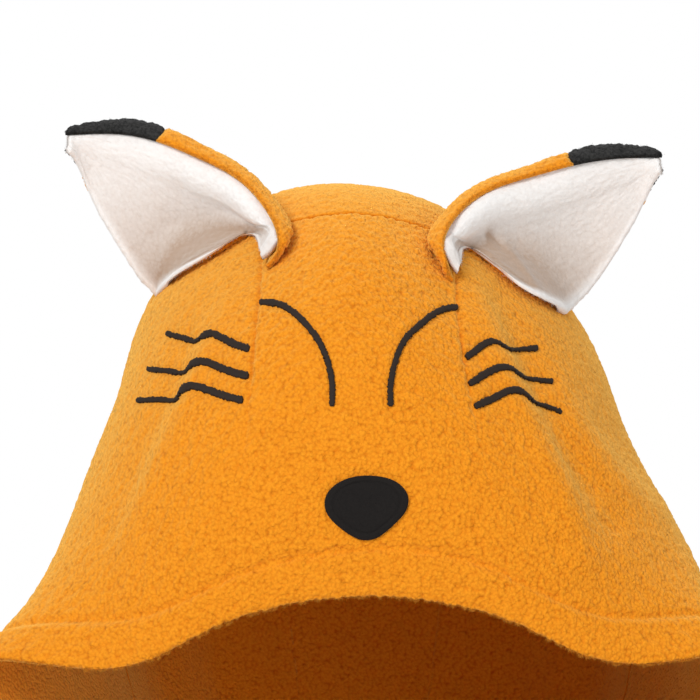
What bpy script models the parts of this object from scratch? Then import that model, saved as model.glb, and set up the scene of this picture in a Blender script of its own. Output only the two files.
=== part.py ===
"""Fox onesie: a fleece one-piece whose hood is a fox's head, in the shape it keeps when it is worn with
both arms raised and the hood's front edge drawn down and out at its two corners.

Sizes in the tables are millimetres, and the meshes are made in metres. +Z is up and the wearer faces -Y, so
the wearer's left is at +X. The origin is between the shoulders at the base of the neck, where the wearer
carries the garment. Every piece of cloth is a wall of even thickness over a smooth surface P(a, b), where a
runs across the piece and b along it.
"""

import bmesh
import bpy
import numpy as np
from mathutils import Vector
from mathutils.bvhtree import BVHTree

MM = 0.001
CLOTH = 2.4          # thickness of the fleece
LINING = 2.0         # thickness of the plush inside each ear
SEAM = 0.3           # gap between two pieces that are sewn together
HOOD_LIFT = 3.0      # the hood's lower edge stands this far over the neck ring, clear of the body's wall
RIB = 2.8            # thickness of a doubled cuff
STITCH_HEIGHT = 1.0  # satin stitch stands this far above its lower side
STITCH_LIFT = 0.7    # gap under what lies on the cloth
STITCH_WIDTH = 3.2
STITCH_STEP = 3.5    # length of one step along a row of satin stitch
NOSE_HEIGHT = 1.2
NOSE_COLUMNS = 6
NORMAL_BLEND = 2     # share of the mean normal in what lies on the cloth, beside each point's own
STEP = 0.002         # step in a and b for the tangents that give a normal

ORANGE = (0.87, 0.30, 0.02, 1)
WHITE = (0.86, 0.84, 0.81, 1)
BLACK = (0.03, 0.028, 0.026, 1)
THREAD = (0.025, 0.018, 0.015, 1)
BUTTON = (0.80, 0.30, 0.05, 1)

# Half of the neck ring: place, from the middle of the front (0) to the middle of the back (1), and point.
NECK_RING = [
    (0.00, (0, -66, -34)), (0.20, (38, -56, -25)), (0.38, (66, -30, -8)), (0.50, (77, -2, 2)),
    (0.64, (73, 24, 9)), (0.79, (47, 49, 14)), (1.00, (0, 55, 15)),
]

# The hood is a net of sections, each an arch from the neck ring on one side over the head to the other.
# 'at' is the section's place from the front edge (0) to the back of the neck (1). The points are those of the
# left half of the arch at HOOD_ACROSS, and its foot is a place on the neck ring. The head is held a little
# askew: drift moves a section's middle to the left, lean moves what is outside the strip seams, and tilt
# lifts its left side by so much for each millimetre.
HOOD_ACROSS = (0.0, 0.2, 0.4, 0.6, 0.8, 1.0)
HOOD_SECTIONS = [
    # at, middle, strip seam, cheek, side, jaw, foot, drift, lean, tilt
    (0.00, (0, -150, 119), (62, -147, 107), (112, -136, 89), (169, -112, 87),
     (104, -90, 20), 0.03, 0, 4, 0.01),
    (0.12, (0, -151, 160), (53, -146.5, 153), (104, -124, 131), (146, -78, 111),
     (118, -62, 34), 0.12, 0, 7, 0),
    (0.32, (0, -131, 226), (43.3, -119, 221.5), (90, -88, 204), (124, -34, 160),
     (123, -18, 62), 0.27, -4, 11, -0.04),
    (0.50, (0, -76, 278), (41.5, -59, 269.5), (94, -20, 237), (116, 12, 155),
     (114, 16, 66), 0.42, -4, 8, -0.04),
    (0.62, (0, -14, 292), (45, -2, 282), (90, 24, 237), (110, 46, 152),
     (105, 42, 66), 0.54, -5, 6, -0.07),
    (0.75, (0, 70, 261), (45, 68, 251), (82, 70, 209), (93, 72, 140),
     (88, 58, 64), 0.64, -3, 4, -0.05),
    (0.87, (0, 108, 181), (42, 103, 175), (66, 95, 148), (75, 84, 106),
     (72, 66, 54), 0.71, 0, 1, -0.02),
    (0.95, (0, 90, 82), (34, 87, 80), (47, 80, 68), (55, 70, 48),
     (57, 58, 28), 0.755, 0, 0, 0),
]
NAPE = (1.0, 0.90, 0.875, 0.85, 0.82, 0.79)   # the last section's points, as places on the neck ring
STRIP = 0.2          # the seams beside the face panel are at this place across
CROWN_SEAM = 0.5     # and the seam that the ears are set in is at this place along

# Large folds of the hood, as seen from the front: height of the ridge, half its width, and its path (x, z).
# They fade out over this much of b before the crown seam, and over this much of a before the place FOLD_EDGE.
FOLD_FADE = 0.06
FOLD_EDGE = 0.9
FOLD_EDGE_FADE = 0.2
FOLD_RUN = (0.04, 0.93)   # a fold never quite dies at its start, and stops short of dying at its end
HOOD_FOLDS = [
    # height, half width, path
    (4.0, 7.5, [(42, 252), (50, 234), (55.5, 223), (60.5, 211.5), (65.5, 201), (72.6, 188.7), (79, 170),
                (90, 134)]),
    (-5.0, 8, [(57, 240), (63.5, 222), (69.5, 209.4), (77, 190), (85, 176), (95, 162), (103, 148)]),
    (3.2, 8, [(82, 200), (89, 189), (99.5, 175), (109, 164.5), (124.5, 150.5), (139, 131)]),
    (-2.5, 9, [(92, 198), (102, 185.5), (118, 164), (132, 147)]),
    (3.0, 6.5, [(-61, 239), (-67, 227), (-71.5, 213.5), (-75.5, 203.3), (-88, 175), (-102, 139)]),
    (-3.4, 7, [(-66, 238), (-73, 223.5), (-78, 209.5), (-82, 197), (-92, 176), (-106, 142)]),
]

# Each ear is a cupped sheet. 'at' runs from its base (0) to its tip (1); the points run across it from its
# outer edge through the hollow to the crest, where the back rolls over to the front and ends in a lip.
EAR_ACROSS = (0.0, 0.22, 0.46, 0.70, 0.92, 1.0)
LINING_EDGE = 0.80   # the lining ends at this place across, under the lip
LINING_END = 0.90    # and at this place along
TIP_SEAM = 0.815     # the black tip starts at this place along
EAR_GAP = 0.5        # between an ear's back and its lining
SKIN_COLUMNS = 120   # of the surface that the ears are seated on
SKIN_ROWS = 90
EAR_LIFTS = (1.5, 6.0)   # least distance of the first rows' middle from the hood's outside
EAR_CLEARANCE = 0.5      # least distance of the ear's walls from it
EAR_COLUMNS = (0, 0.11, 0.22, 0.34, 0.46, 0.58, 0.70, 0.80, 0.87, 0.92, 0.96, 1)
EAR_ROWS = (0, 0.13, 0.26, 0.38, 0.50, 0.62, 0.72, 0.815, 0.90, 0.96, 1)
EAR_SECTIONS = {
    # at, outer edge, hollow, hollow, wall, crest, lip
    "right": [
        (0.00, (-95, -25, 246.5), (-80, -43, 253.5), (-62, -55.5, 263), (-46.5, -62.5, 270),
          (-40.5, -88, 259), (-42.5, -92, 255.5)),
        (0.15, (-102, -30, 253), (-87, -37, 261.5), (-68, -48, 269), (-49, -62, 274),
          (-33, -88, 265), (-38, -94, 262)),
        (0.30, (-108, -34, 262), (-94, -32, 271), (-74, -38, 279), (-54, -55, 282),
          (-34, -81, 275), (-39, -88, 272)),
        (0.50, (-117, -40, 275), (-104, -26, 284), (-86, -26, 292), (-67, -38, 296),
          (-48, -62, 295), (-52, -69, 290)),
        (0.72, (-124, -44, 289), (-114, -26, 297), (-101, -22, 304), (-88, -30, 308),
          (-72, -50, 309), (-76, -56, 305)),
        (0.90, (-128, -47, 303), (-124, -38, 307), (-118, -33, 312), (-112, -34, 315),
          (-104, -44, 318), (-106, -48, 314)),
        (1.00, (-130, -49, 307), (-129, -46, 309), (-128, -44, 311), (-127, -43, 313),
          (-126, -44, 316), (-127, -47, 314)),
    ],
    "left": [
        (0.00, (87, -43, 236), (73.5, -59.5, 243.5), (57, -65, 254), (41, -66.5, 264),
          (35.5, -90, 251.5), (37, -95, 249)),
        (0.15, (95, -36, 241.5), (80, -46, 250), (63, -55, 260), (45, -64, 268),
          (29, -88, 258), (34, -94, 255)),
        (0.30, (104, -33, 251), (90, -32, 259), (70, -38, 270), (50, -55, 275),
          (29, -81, 270), (34, -88, 267)),
        (0.50, (114, -39, 265), (102, -26, 274), (85, -26, 284), (65, -38, 289),
          (44, -62, 288), (48, -69, 284)),
        (0.72, (122, -43, 279), (113, -26, 287), (100, -23, 295), (86, -31, 299),
          (71, -50, 299), (74, -56, 295)),
        (0.90, (127, -46, 292), (123, -37, 297), (118, -33, 301), (112, -35, 304),
          (105, -45, 307), (106, -49, 303)),
        (1.00, (129, -48, 298), (128, -46, 300), (127, -44, 302), (126, -43, 304),
          (125, -43, 306), (126, -46, 304)),
    ],
}

# What is sewn on the face, as seen from the front: the middle line (x, z) of each row of satin stitch, and
# the outline of the nose.
STITCH_LINES = {
    "eye_right": [(-43.5, 239.2), (-36, 238.5), (-27, 232.5), (-20, 224), (-15.5, 214), (-14, 205),
                  (-14, 197)],
    "eye_left": [(37, 237.2), (31, 236), (23, 230.5), (16, 224), (12, 215), (10, 206), (10, 197)],
    "whisker_right_1": [(-49.2, 220.2), (-57, 222.8), (-66.5, 225.6), (-69.6, 224), (-72.5, 223.4),
                        (-84.5, 226.4)],
    "whisker_right_2": [(-49.8, 208.9), (-60, 211.8), (-71, 213.8), (-74.2, 211.4), (-77.5, 210),
                        (-92.4, 211.1)],
    "whisker_right_3": [(-52, 199), (-63, 201.8), (-75, 203.3), (-77.8, 200.6), (-80.5, 198.6), (-97, 198)],
    "whisker_left_1": [(42.6, 217), (47, 220.1), (52, 223), (55.5, 222.4), (59.5, 220.1), (73, 220.2)],
    "whisker_left_2": [(43.8, 206), (50, 209.6), (57.5, 212.2), (61.5, 211), (66.5, 207.8), (79, 206)],
    "whisker_left_3": [(46, 196.8), (54, 200), (62.5, 202.6), (66.2, 200.8), (70.8, 197), (82, 193.3)],
}
NOSE_ROWS = [
    # height z, left edge x, right edge x
    (168.0, -4, 5), (166.6, -9, 10.5), (163.5, -14, 15), (159, -16.8, 17.2), (154, -16.6, 16.2),
    (149, -13, 12), (145, -8, 7.5), (142.4, -3, 3),
]

# The body is four panels, front and back of each side, each a net from its middle edge (centre line, then
# inseam) to its outer edge (armhole, then side seam). Side, fall and leg are the left half's points.
BODY_ACROSS = (0.0, 0.35, 0.7, 1.0)
NECK_END = 0.13      # the neck ring ends here along a panel
UNDERARM = 0.25      # the armhole ends here
CROTCH = 0.62        # the centre line ends here and the inseam begins
FRONT_SECTIONS = [
    # at, middle edge, point, point, outer edge
    (0.00, (77, -2, 2), (114, 3, -10), (155, 9, -27), (192, 14, -46)),
    (0.06, (55, -42, -14), (100, -50, -36), (148, -46, -60), (191, -40, -84)),
    (0.13, (0, -66, -34), (64, -98, -84), (134, -98, -118), (186, -88, -148)),
    (0.25, (0, -140, -200), (78, -146, -222), (158, -112, -250), (208, -8, -272)),
    (0.36, (0, -152, -390), (95, -146, -400), (186, -92, -410), (230, 0, -416)),
    (0.48, (0, -158, -560), (104, -152, -570), (200, -94, -576), (240, 4, -580)),
    (0.56, (0, -124, -668), (92, -138, -664), (192, -94, -662), (234, 5, -660)),
    (0.62, (0, 0, -722), (70, -108, -722), (168, -90, -722), (218, 6, -722)),
    (0.70, (17, 5, -820), (66, -84, -820), (150, -76, -820), (200, 8, -820)),
    (0.82, (34, 8, -980), (72, -62, -980), (138, -58, -980), (178, 10, -980)),
    (0.93, (50, 10, -1140), (80, -44, -1140), (126, -42, -1140), (156, 11, -1140)),
    (1.00, (62, 12, -1240), (84, -29, -1240), (118, -29, -1240), (140, 12, -1240)),
]
BACK_SECTIONS = [
    (0.00, (77, -2, 2), (114, 3, -10), (155, 9, -27), (192, 14, -46)),
    (0.06, (60, 38, 12), (106, 58, -14), (154, 66, -46), (200, 60, -84)),
    (0.13, (0, 55, 15), (66, 98, -36), (142, 110, -84), (206, 86, -150)),
    (0.25, (0, 122, -150), (80, 132, -196), (160, 104, -246), (208, -8, -272)),
    (0.36, (0, 132, -390), (95, 130, -400), (186, 86, -410), (230, 0, -416)),
    (0.48, (0, 160, -560), (104, 152, -570), (200, 98, -576), (240, 4, -580)),
    (0.56, (0, 130, -668), (92, 142, -664), (192, 100, -662), (234, 5, -660)),
    (0.62, (0, 0, -722), (70, 112, -722), (168, 98, -722), (218, 6, -722)),
    (0.70, (17, 5, -820), (66, 94, -820), (150, 88, -820), (200, 8, -820)),
    (0.82, (34, 8, -980), (72, 78, -980), (138, 74, -980), (178, 10, -980)),
    (0.93, (50, 10, -1140), (80, 64, -1140), (126, 62, -1140), (156, 11, -1140)),
    (1.00, (62, 12, -1240), (84, 53, -1240), (118, 53, -1240), (140, 12, -1240)),
]
BODY_ROWS = (0, 0.03, 0.06, 0.095, 0.13, 0.17, 0.21, 0.25, 0.30, 0.36, 0.42, 0.48, 0.54, 0.585, 0.62, 0.65,
             0.70, 0.76, 0.82, 0.88, 0.94, 1.0)
BODY_COLUMNS = 8

# Soft folds of the body, on the left half: panel, height, half width, and both ends as (a, b). Distances are
# counted on the panel laid flat, BODY_SPAN wide and long, and a fold dies out at the panel's seams.
BODY_SPAN = (240, 1280)
BODY_FOLDS = [
    # panel, height, half width, one end, other end
    ("front", 6, 38, (0.62, 0.20), (0.20, 0.40)),
    ("front", -5, 36, (0.80, 0.30), (0.45, 0.46)),
    ("front", 5, 36, (0.25, 0.50), (0.62, 0.60)),
    ("front", 5, 34, (0.30, 0.72), (0.70, 0.79)),
    ("front", -4, 34, (0.62, 0.84), (0.30, 0.90)),
    ("back", 6, 38, (0.70, 0.16), (0.30, 0.34)),
    ("back", -5, 36, (0.35, 0.40), (0.72, 0.50)),
    ("back", 6, 38, (0.30, 0.60), (0.72, 0.66)),
    ("back", 5, 34, (0.68, 0.76), (0.30, 0.82)),
]

# The sleeve is a tube from the armhole to the cuff, through rings round the raised arm, which lies in one
# plane: shoulder, elbow, wrist. 'across' is half the ring's width in that plane and 'beside' out of it.
SHOULDER = (165, 25, -45)
ELBOW = (309, -151, -216)
WRIST = (200, -185, 0)
SLEEVE_RINGS = [
    # at, centre, across, beside
    (0.29, (250, -70, -172), 68, 52),
    (0.43, (270, -93, -194), 52, 54),
    (0.56, (287, -112, -212), 37, 54),
    (0.66, (318, -156, -222), 36, 54),
    (0.76, (314, -182, -184), 34, 50),
    (0.88, (272, -188, -112), 38, 44),
    (1.00, (222, -181, -38), 34, 37),
]
SLEEVE_ROWS = 16
ARMHOLE_REACH = (90, 100)   # half the armhole's width across the arm's plane and beside it
ARMHOLE_GAP = 0.9    # the sleeve starts this far along from the armhole's edge
CUFF_ROWS = [
    # distance along the cuff, share of its first ring
    (0.3, 1.0), (10, 0.92), (34, 0.91), (56, 0.94),
]

PLACKET_WIDTH = 30
PLACKET_ACROSS = (-0.5, -0.15, 0.15, 0.5)   # its points across, clear of the gap between the front panels
PLACKET_TOP = 0.14   # along the front panels
PLACKET_END = 0.47
BUTTON_PLACES = (0.185, 0.245, 0.310, 0.375, 0.440)
BUTTON_RADIUS = 9.0
BUTTON_THICK = 3.2
BUTTON_BEVEL = 0.8
BUTTON_GAP = 0.8
BUTTON_SIDES = 20

FINISHES = [
    ("orange fleece", ORANGE, 0.95), ("black fleece", BLACK, 0.95), ("white plush", WHITE, 0.95),
    ("black felt", BLACK, 0.9), ("dark thread", THREAD, 0.6), ("button", BUTTON, 0.35),
]


def spline_at(knots, values, at):
    """Values of the natural cubic spline through (knots, values) at the places 'at'."""
    knots = np.asarray(knots, float)
    values = np.asarray(values, float)
    at = np.asarray(at, float)
    step = np.diff(knots)
    slope = (np.diff(values, axis=0).T / step).T
    count = len(knots)
    matrix = np.eye(count)
    right = np.zeros(values.shape)
    for i in range(1, count - 1):
        matrix[i, i - 1: i + 2] = step[i - 1], 2 * (step[i - 1] + step[i]), step[i]
        right[i] = 6 * (slope[i] - slope[i - 1])
    bend = np.linalg.solve(matrix, right.reshape(count, -1)).reshape(values.shape)
    i = np.clip(np.searchsorted(knots, at, side="right") - 1, 0, count - 2)
    shape = at.shape + (1,) * (values.ndim - 1)
    h = step[i].reshape(shape)
    left = (knots[i + 1] - at).reshape(shape)
    rest = (at - knots[i]).reshape(shape)
    curve = (bend[i] * left**3 + bend[i + 1] * rest**3) / (6 * h)
    before = (values[i] / h - bend[i] * h / 6) * left
    after = (values[i + 1] / h - bend[i + 1] * h / 6) * rest
    return curve + before + after


def net_at(along, across, net, a, b):
    """The surface through a net of points, net[row, column], at a across and b along."""
    a, b = np.broadcast_arrays(np.asarray(a, float), np.asarray(b, float))
    rows = spline_at(along, net, b.ravel())
    weights = spline_at(across, np.eye(len(across)), a.ravel())
    return np.einsum("nk,nkc->nc", weights, rows).reshape(a.shape + (3,))


def unit(vectors):
    return vectors / np.linalg.norm(vectors, axis=-1, keepdims=True)


def normals_of(surface, a, b):
    """Unit normals of a surface by the cross product of its tangents along a and b."""
    across = surface(a + STEP, b) - surface(a - STEP, b)
    along = surface(a, b + STEP) - surface(a, b - STEP)
    return unit(np.cross(across, along))


def neck_ring(place):
    """Points of the neck ring, from the middle of the front (0) over the left side to the back (1)."""
    knots = np.array([row[0] for row in NECK_RING])
    points = np.array([row[1] for row in NECK_RING], float)
    flipped = points * (-1, 1, 1)
    knots = np.concatenate([-knots[:0:-1], knots, 2 - knots[-2::-1]])
    points = np.concatenate([flipped[:0:-1], points, flipped[-2::-1]])
    return spline_at(knots, points, place)


def distance_to_path(x, z, path):
    """Distance from (x, z) to a path in the front view, and the nearest point's place along it, 0 to 1."""
    path = np.array(path, float)
    lengths = np.linalg.norm(np.diff(path, axis=0), axis=1)
    starts = np.concatenate([[0], np.cumsum(lengths)]) / lengths.sum()
    best = np.full(np.shape(x), np.inf)
    place = np.zeros(np.shape(x))
    for i, (start, end) in enumerate(zip(path[:-1], path[1:])):
        run = end - start
        t = np.clip(((x - start[0]) * run[0] + (z - start[1]) * run[1]) / (run @ run), 0, 1)
        distance = np.hypot(x - start[0] - t * run[0], z - start[1] - t * run[1])
        nearer = distance < best
        best = np.where(nearer, distance, best)
        place = np.where(nearer, starts[i] + t * (starts[i + 1] - starts[i]), place)
    return best, place


def hood_foot(place):
    """Points of the hood's lower edge, over the neck ring."""
    return neck_ring(place) + (0, 0, HOOD_LIFT)


def hood_net():
    """The hood's net of both sides: places along, places across, and the points."""
    left = []
    right = []
    out = np.array(HOOD_ACROSS[:-1])
    outside = np.clip((out - STRIP) / (1 - STRIP), 0, 1)
    for at, *points, foot, drift, lean, tilt in HOOD_SECTIONS:
        arch = np.array(points, float)
        for half, side in ((left, 1), (right, -1)):
            bent = arch * (side, 1, 1)
            bent[:, 2] += tilt * bent[:, 0]
            bent[:, 0] += drift * (1 - out) + lean * outside
            half.append(np.vstack([bent, hood_foot(foot) * (side, 1, 1)]))
    nape = hood_foot(np.array(NAPE))
    left.append(nape)
    right.append(nape * (-1, 1, 1))
    along = [row[0] for row in HOOD_SECTIONS] + [1.0]
    across = np.array(HOOD_ACROSS)
    net = np.concatenate([np.array(right)[:, :0:-1], np.array(left)], axis=1)
    return np.array(along), np.concatenate([-across[:0:-1], across]), net


HOOD_NET = hood_net()
HOOD_FEET = [row[6] for row in HOOD_SECTIONS] + [NAPE[-1]]


def hood_base(a, b):
    """The hood without folds: a from -1 (right foot) to 1 (left foot), b from 0 (front edge) to 1 (nape)."""
    a, b = np.broadcast_arrays(np.asarray(a, float), np.asarray(b, float))
    points = net_at(*HOOD_NET, a, b)
    side = np.where(a < 0, -1.0, 1.0)
    foot = hood_foot(np.interp(b, HOOD_NET[0], HOOD_FEET))
    foot[..., 0] *= side
    reach = np.clip((np.abs(a) - 0.8) / 0.2, 0, 1)[..., None] ** 2
    return points + reach * (foot - net_at(*HOOD_NET, side, b))


def hood_surface(a, b):
    """The hood with its large folds, which fade out over the crown seam and near the front edge."""
    a, b = np.broadcast_arrays(np.asarray(a, float), np.asarray(b, float))
    points = hood_base(a, b)
    fade = np.clip((CROWN_SEAM - b) / FOLD_FADE, 0, 1)
    fade = fade * np.clip((FOLD_EDGE - np.abs(a)) / FOLD_EDGE_FADE, 0, 1)
    rise = np.zeros(a.shape)
    for height, half_width, path in HOOD_FOLDS:
        distance, place = distance_to_path(points[..., 0], points[..., 2], path)
        swell = np.sin(np.pi * np.clip(place, *FOLD_RUN)) ** 0.5
        rise += height * np.exp(-(distance / half_width) ** 2) * swell
    return points + normals_of(hood_base, a, b) * (rise * fade)[..., None]


def ear_surface(name, hood):
    """The middle of an ear's sheet: a from the outer edge (0) to the lip (1), b from base (0) to tip (1).
    Points near the base are moved out until they clear the hood, whose faces are in the tree 'hood'."""
    rows = EAR_SECTIONS[name]
    along = np.array([row[0] for row in rows])
    net = np.array([row[1:] for row in rows], float)
    for i, lift in enumerate(EAR_LIFTS):
        for j, point in enumerate(net[i]):
            spot, normal, _, _ = hood.find_nearest(Vector(point * MM))
            spot, normal = np.array(spot) / MM, np.array(normal)
            height = (point - spot) @ normal
            if height < lift or i == 0:
                net[i, j] = spot + normal * lift
    return lambda a, b: net_at(along, np.array(EAR_ACROSS), net, a, b)


def edge_curve(sections, point, from_place, to_place, b):
    """One edge of a panel, through the sections between two places, so that both its neighbours share it."""
    rows = [row for row in sections if from_place <= row[0] <= to_place]
    return spline_at([row[0] for row in rows], [row[point] for row in rows], np.clip(b, from_place, to_place))


def body_fold_rise(panel, a, b):
    """How far a body panel's soft folds lift it at (a, b)."""
    rise = np.zeros(np.shape(a))
    width, length = BODY_SPAN
    for name, height, half_width, start, end in BODY_FOLDS:
        if name == panel:
            path = np.array([start, end]) * (width, length)
            distance, _ = distance_to_path(a * width, b * length, path)
            rise += height * np.exp(-(distance / half_width) ** 2)
    return rise * np.sin(np.pi * a)


def body_surface(panel, side):
    """A body panel's surface: a from its middle edge (0) to its outer edge (1), b from shoulder to ankle."""
    sections = FRONT_SECTIONS if panel == "front" else BACK_SECTIONS
    facing = -1 if panel == "front" else 1
    along = np.array([row[0] for row in sections])
    net = np.array([row[1:] for row in sections], float)
    neck_run = 0.5 * facing

    def middle_edge(b):
        neck = neck_ring(0.5 + neck_run * np.clip(b / NECK_END, 0, 1))
        centre = edge_curve(sections, 1, NECK_END, CROTCH, b) * (0, 1, 1)
        inseam = edge_curve(sections, 1, CROTCH, 1, b)
        below = np.where((b > CROTCH)[..., None], inseam, centre)
        return np.where((b <= NECK_END)[..., None], neck, below)

    def outer_edge(b):
        armhole = edge_curve(sections, 4, 0, UNDERARM, b)
        return np.where((b < UNDERARM)[..., None], armhole, edge_curve(sections, 4, UNDERARM, 1, b))

    def surface(a, b):
        a, b = np.broadcast_arrays(np.asarray(a, float), np.asarray(b, float))
        points = net_at(along, np.array(BODY_ACROSS), net, a, b)
        middle = net_at(along, np.array(BODY_ACROSS), net, np.zeros_like(a), b)
        outer = net_at(along, np.array(BODY_ACROSS), net, np.ones_like(a), b)
        near_middle = np.clip(1 - a, 0, 1)[..., None] ** 2
        near_outer = np.clip(a, 0, 1)[..., None] ** 3
        points = points + near_middle * (middle_edge(b) - middle) + near_outer * (outer_edge(b) - outer)
        points[..., 1] += facing * body_fold_rise(panel, a, b)
        return points * (side, 1, 1)
    return surface


def grid_normals(points, wrap=False):
    """Unit normals at the points of a grid, from the differences between neighbours."""
    if wrap:
        across = np.roll(points, -1, axis=1) - np.roll(points, 1, axis=1)
    else:
        across = np.gradient(points, axis=1)
    along = np.gradient(points, axis=0)
    return unit(np.cross(across, along))


def pull_in(points, gaps):
    """Move a grid's edges in along the sheet: gaps for first column, last column, first row and last row."""
    moved = points.copy()
    first, last, top, bottom = (gap * 0.5 for gap in gaps)
    moved[:, 0] += unit(points[:, 1] - points[:, 0]) * first
    moved[:, -1] += unit(points[:, -2] - points[:, -1]) * last
    moved[0] += unit(points[1] - points[0]) * top
    moved[-1] += unit(points[-2] - points[-1]) * bottom
    return moved


def make_material(name, color, roughness):
    material = bpy.data.materials.new(name)
    material.use_nodes = True
    shader = material.node_tree.nodes["Principled BSDF"]
    shader.inputs["Base Color"].default_value = color
    shader.inputs["Roughness"].default_value = roughness
    shader.inputs["Metallic"].default_value = 0.0
    return material


MATERIALS = {}


def make_object(name, mesh, material):
    mesh.materials.append(MATERIALS[material])
    made = bpy.data.objects.new(name, mesh)
    bpy.context.collection.objects.link(made)
    return made


def make_wall(name, inner, outer, material, wrap=False):
    """A closed wall: a sheet through the inner points, extruded to the outer points."""
    rows, columns = inner.shape[:2]
    bm = bmesh.new()
    place = bm.verts.layers.int.new("place")
    verts = []
    for index, point in enumerate(inner.reshape(-1, 3) * MM):
        vert = bm.verts.new(point)
        vert[place] = index
        verts.append(vert)
    for i in range(rows - 1):
        for j in range(columns if wrap else columns - 1):
            k = (j + 1) % columns
            corners = [verts[i * columns + j], verts[i * columns + k],
                       verts[(i + 1) * columns + k], verts[(i + 1) * columns + j]]
            bm.faces.new(corners)
    extruded = bmesh.ops.extrude_face_region(bm, geom=bm.faces[:])
    target = outer.reshape(-1, 3) * MM
    for item in extruded["geom"]:
        if isinstance(item, bmesh.types.BMVert):
            item.co = Vector(target[item[place]])
    bmesh.ops.recalc_face_normals(bm, faces=bm.faces[:])
    mesh = bpy.data.meshes.new(name)
    bm.to_mesh(mesh)
    bm.free()
    return make_object(name, mesh, material)


def make_hood_panel(name, a_range, b_range, columns, rows, gaps):
    """A panel of the hood between two places across and two along."""
    a, b = np.meshgrid(np.linspace(*a_range, columns + 1), np.linspace(*b_range, rows + 1))
    points = pull_in(hood_surface(a, b), gaps)
    out = normals_of(hood_surface, a, np.clip(b, STEP, 1 - STEP))
    return make_wall(name, points - out * CLOTH / 2, points + out * CLOTH / 2, "orange fleece")


def make_hood():
    half = CROWN_SEAM
    panels = [
        make_hood_panel("hood_face", (-STRIP, STRIP), (0, half), 8, 22, (SEAM, SEAM, 0, SEAM)),
        make_hood_panel("hood_crown", (-STRIP, STRIP), (half, 1), 8, 14, (SEAM, SEAM, SEAM, 0)),
    ]
    for side, sign in (("left", 1), ("right", -1)):
        a_range = (STRIP, 1) if sign > 0 else (-1, -STRIP)
        gaps = (SEAM, 0) if sign > 0 else (0, SEAM)
        panels.append(make_hood_panel("hood_cheek_" + side, a_range, (0, half), 12, 22, (*gaps, 0, 2 * SEAM)))
        panels.append(make_hood_panel("hood_side_" + side, a_range, (half, 1), 12, 14, (*gaps, 2 * SEAM, 0)))
    return panels


def clear_of(tree, points, normals, on_hood):
    """Points of an ear's sheet moved out until its walls clear the hood, however the sheet slants there.
    The first row of a piece that stands on the hood is moved to exactly that height."""
    moved = points.copy()
    for i, row in enumerate(points):
        for j, point in enumerate(row):
            spot, up, _, _ = tree.find_nearest(Vector(point * MM))
            spot, up = np.array(spot) / MM, np.array(up)
            least = EAR_CLEARANCE + (EAR_GAP / 2 + CLOTH) * abs(normals[i, j] @ up)
            if (point - spot) @ up < least or (on_hood and i == 0):
                moved[i, j] = spot + up * least
    return moved


def make_ear(side, hood):
    """Back, black tip and lining of one ear, on the same points, so that they stay one gap apart."""
    surface = ear_surface(side, hood)
    sign = 1 if side == "left" else -1
    pieces = (
        ("ear_%s_back", 0, 1, 0, TIP_SEAM, 1, CLOTH, "orange fleece"),
        ("ear_%s_tip", 0, 1, TIP_SEAM, 1, 1, CLOTH, "black fleece"),
        ("ear_%s_lining", 0, LINING_EDGE, 0, LINING_END, -1, LINING, "white plush"),
    )
    for name, a0, a1, b0, b1, out_sign, thick, material in pieces:
        a, b = np.meshgrid([a for a in EAR_COLUMNS if a0 <= a <= a1], [b for b in EAR_ROWS if b0 <= b <= b1])
        points = surface(a, b)
        back = normals_of(surface, a, np.clip(b, STEP, 1 - STEP)) * sign * out_sign
        points = clear_of(hood, points, back, b0 == 0)
        points = pull_in(points, (0, 0, SEAM if b0 else 0, SEAM if b1 == TIP_SEAM else 0))
        near = points + back * EAR_GAP / 2
        make_wall(name % side, near, near + back * thick, material)


def body_grids():
    """Points and outward normals of the four body panels, and of the two sleeves, by name. Where panels
    meet, their normals are averaged, so that the walls meet in mitred seams."""
    grids = {}
    for side, sign in (("left", 1), ("right", -1)):
        a, b = np.meshgrid(np.linspace(0, 1, BODY_COLUMNS + 1), np.array(BODY_ROWS))
        for panel, facing in (("front", -sign), ("back", sign)):
            points = body_surface(panel, sign)(a, b)
            grids[panel + "_" + side] = [points, grid_normals(points) * facing]
        points = sleeve_points(grids["front_" + side][0], grids["back_" + side][0], sign)
        grids["sleeve_" + side] = [points, grid_normals(points, wrap=True) * sign]
    totals = {}
    for points, normals in grids.values():
        for point, normal in zip(points.reshape(-1, 3), normals.reshape(-1, 3)):
            key = tuple(np.round(point, 1) + 0.0)
            totals[key] = totals.get(key, 0) + normal
    for grid in grids.values():
        points, normals = grid
        merged = [totals[tuple(np.round(point, 1) + 0.0)] for point in points.reshape(-1, 3)]
        grid[1] = unit(np.array(merged)).reshape(points.shape)
    return grids


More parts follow.
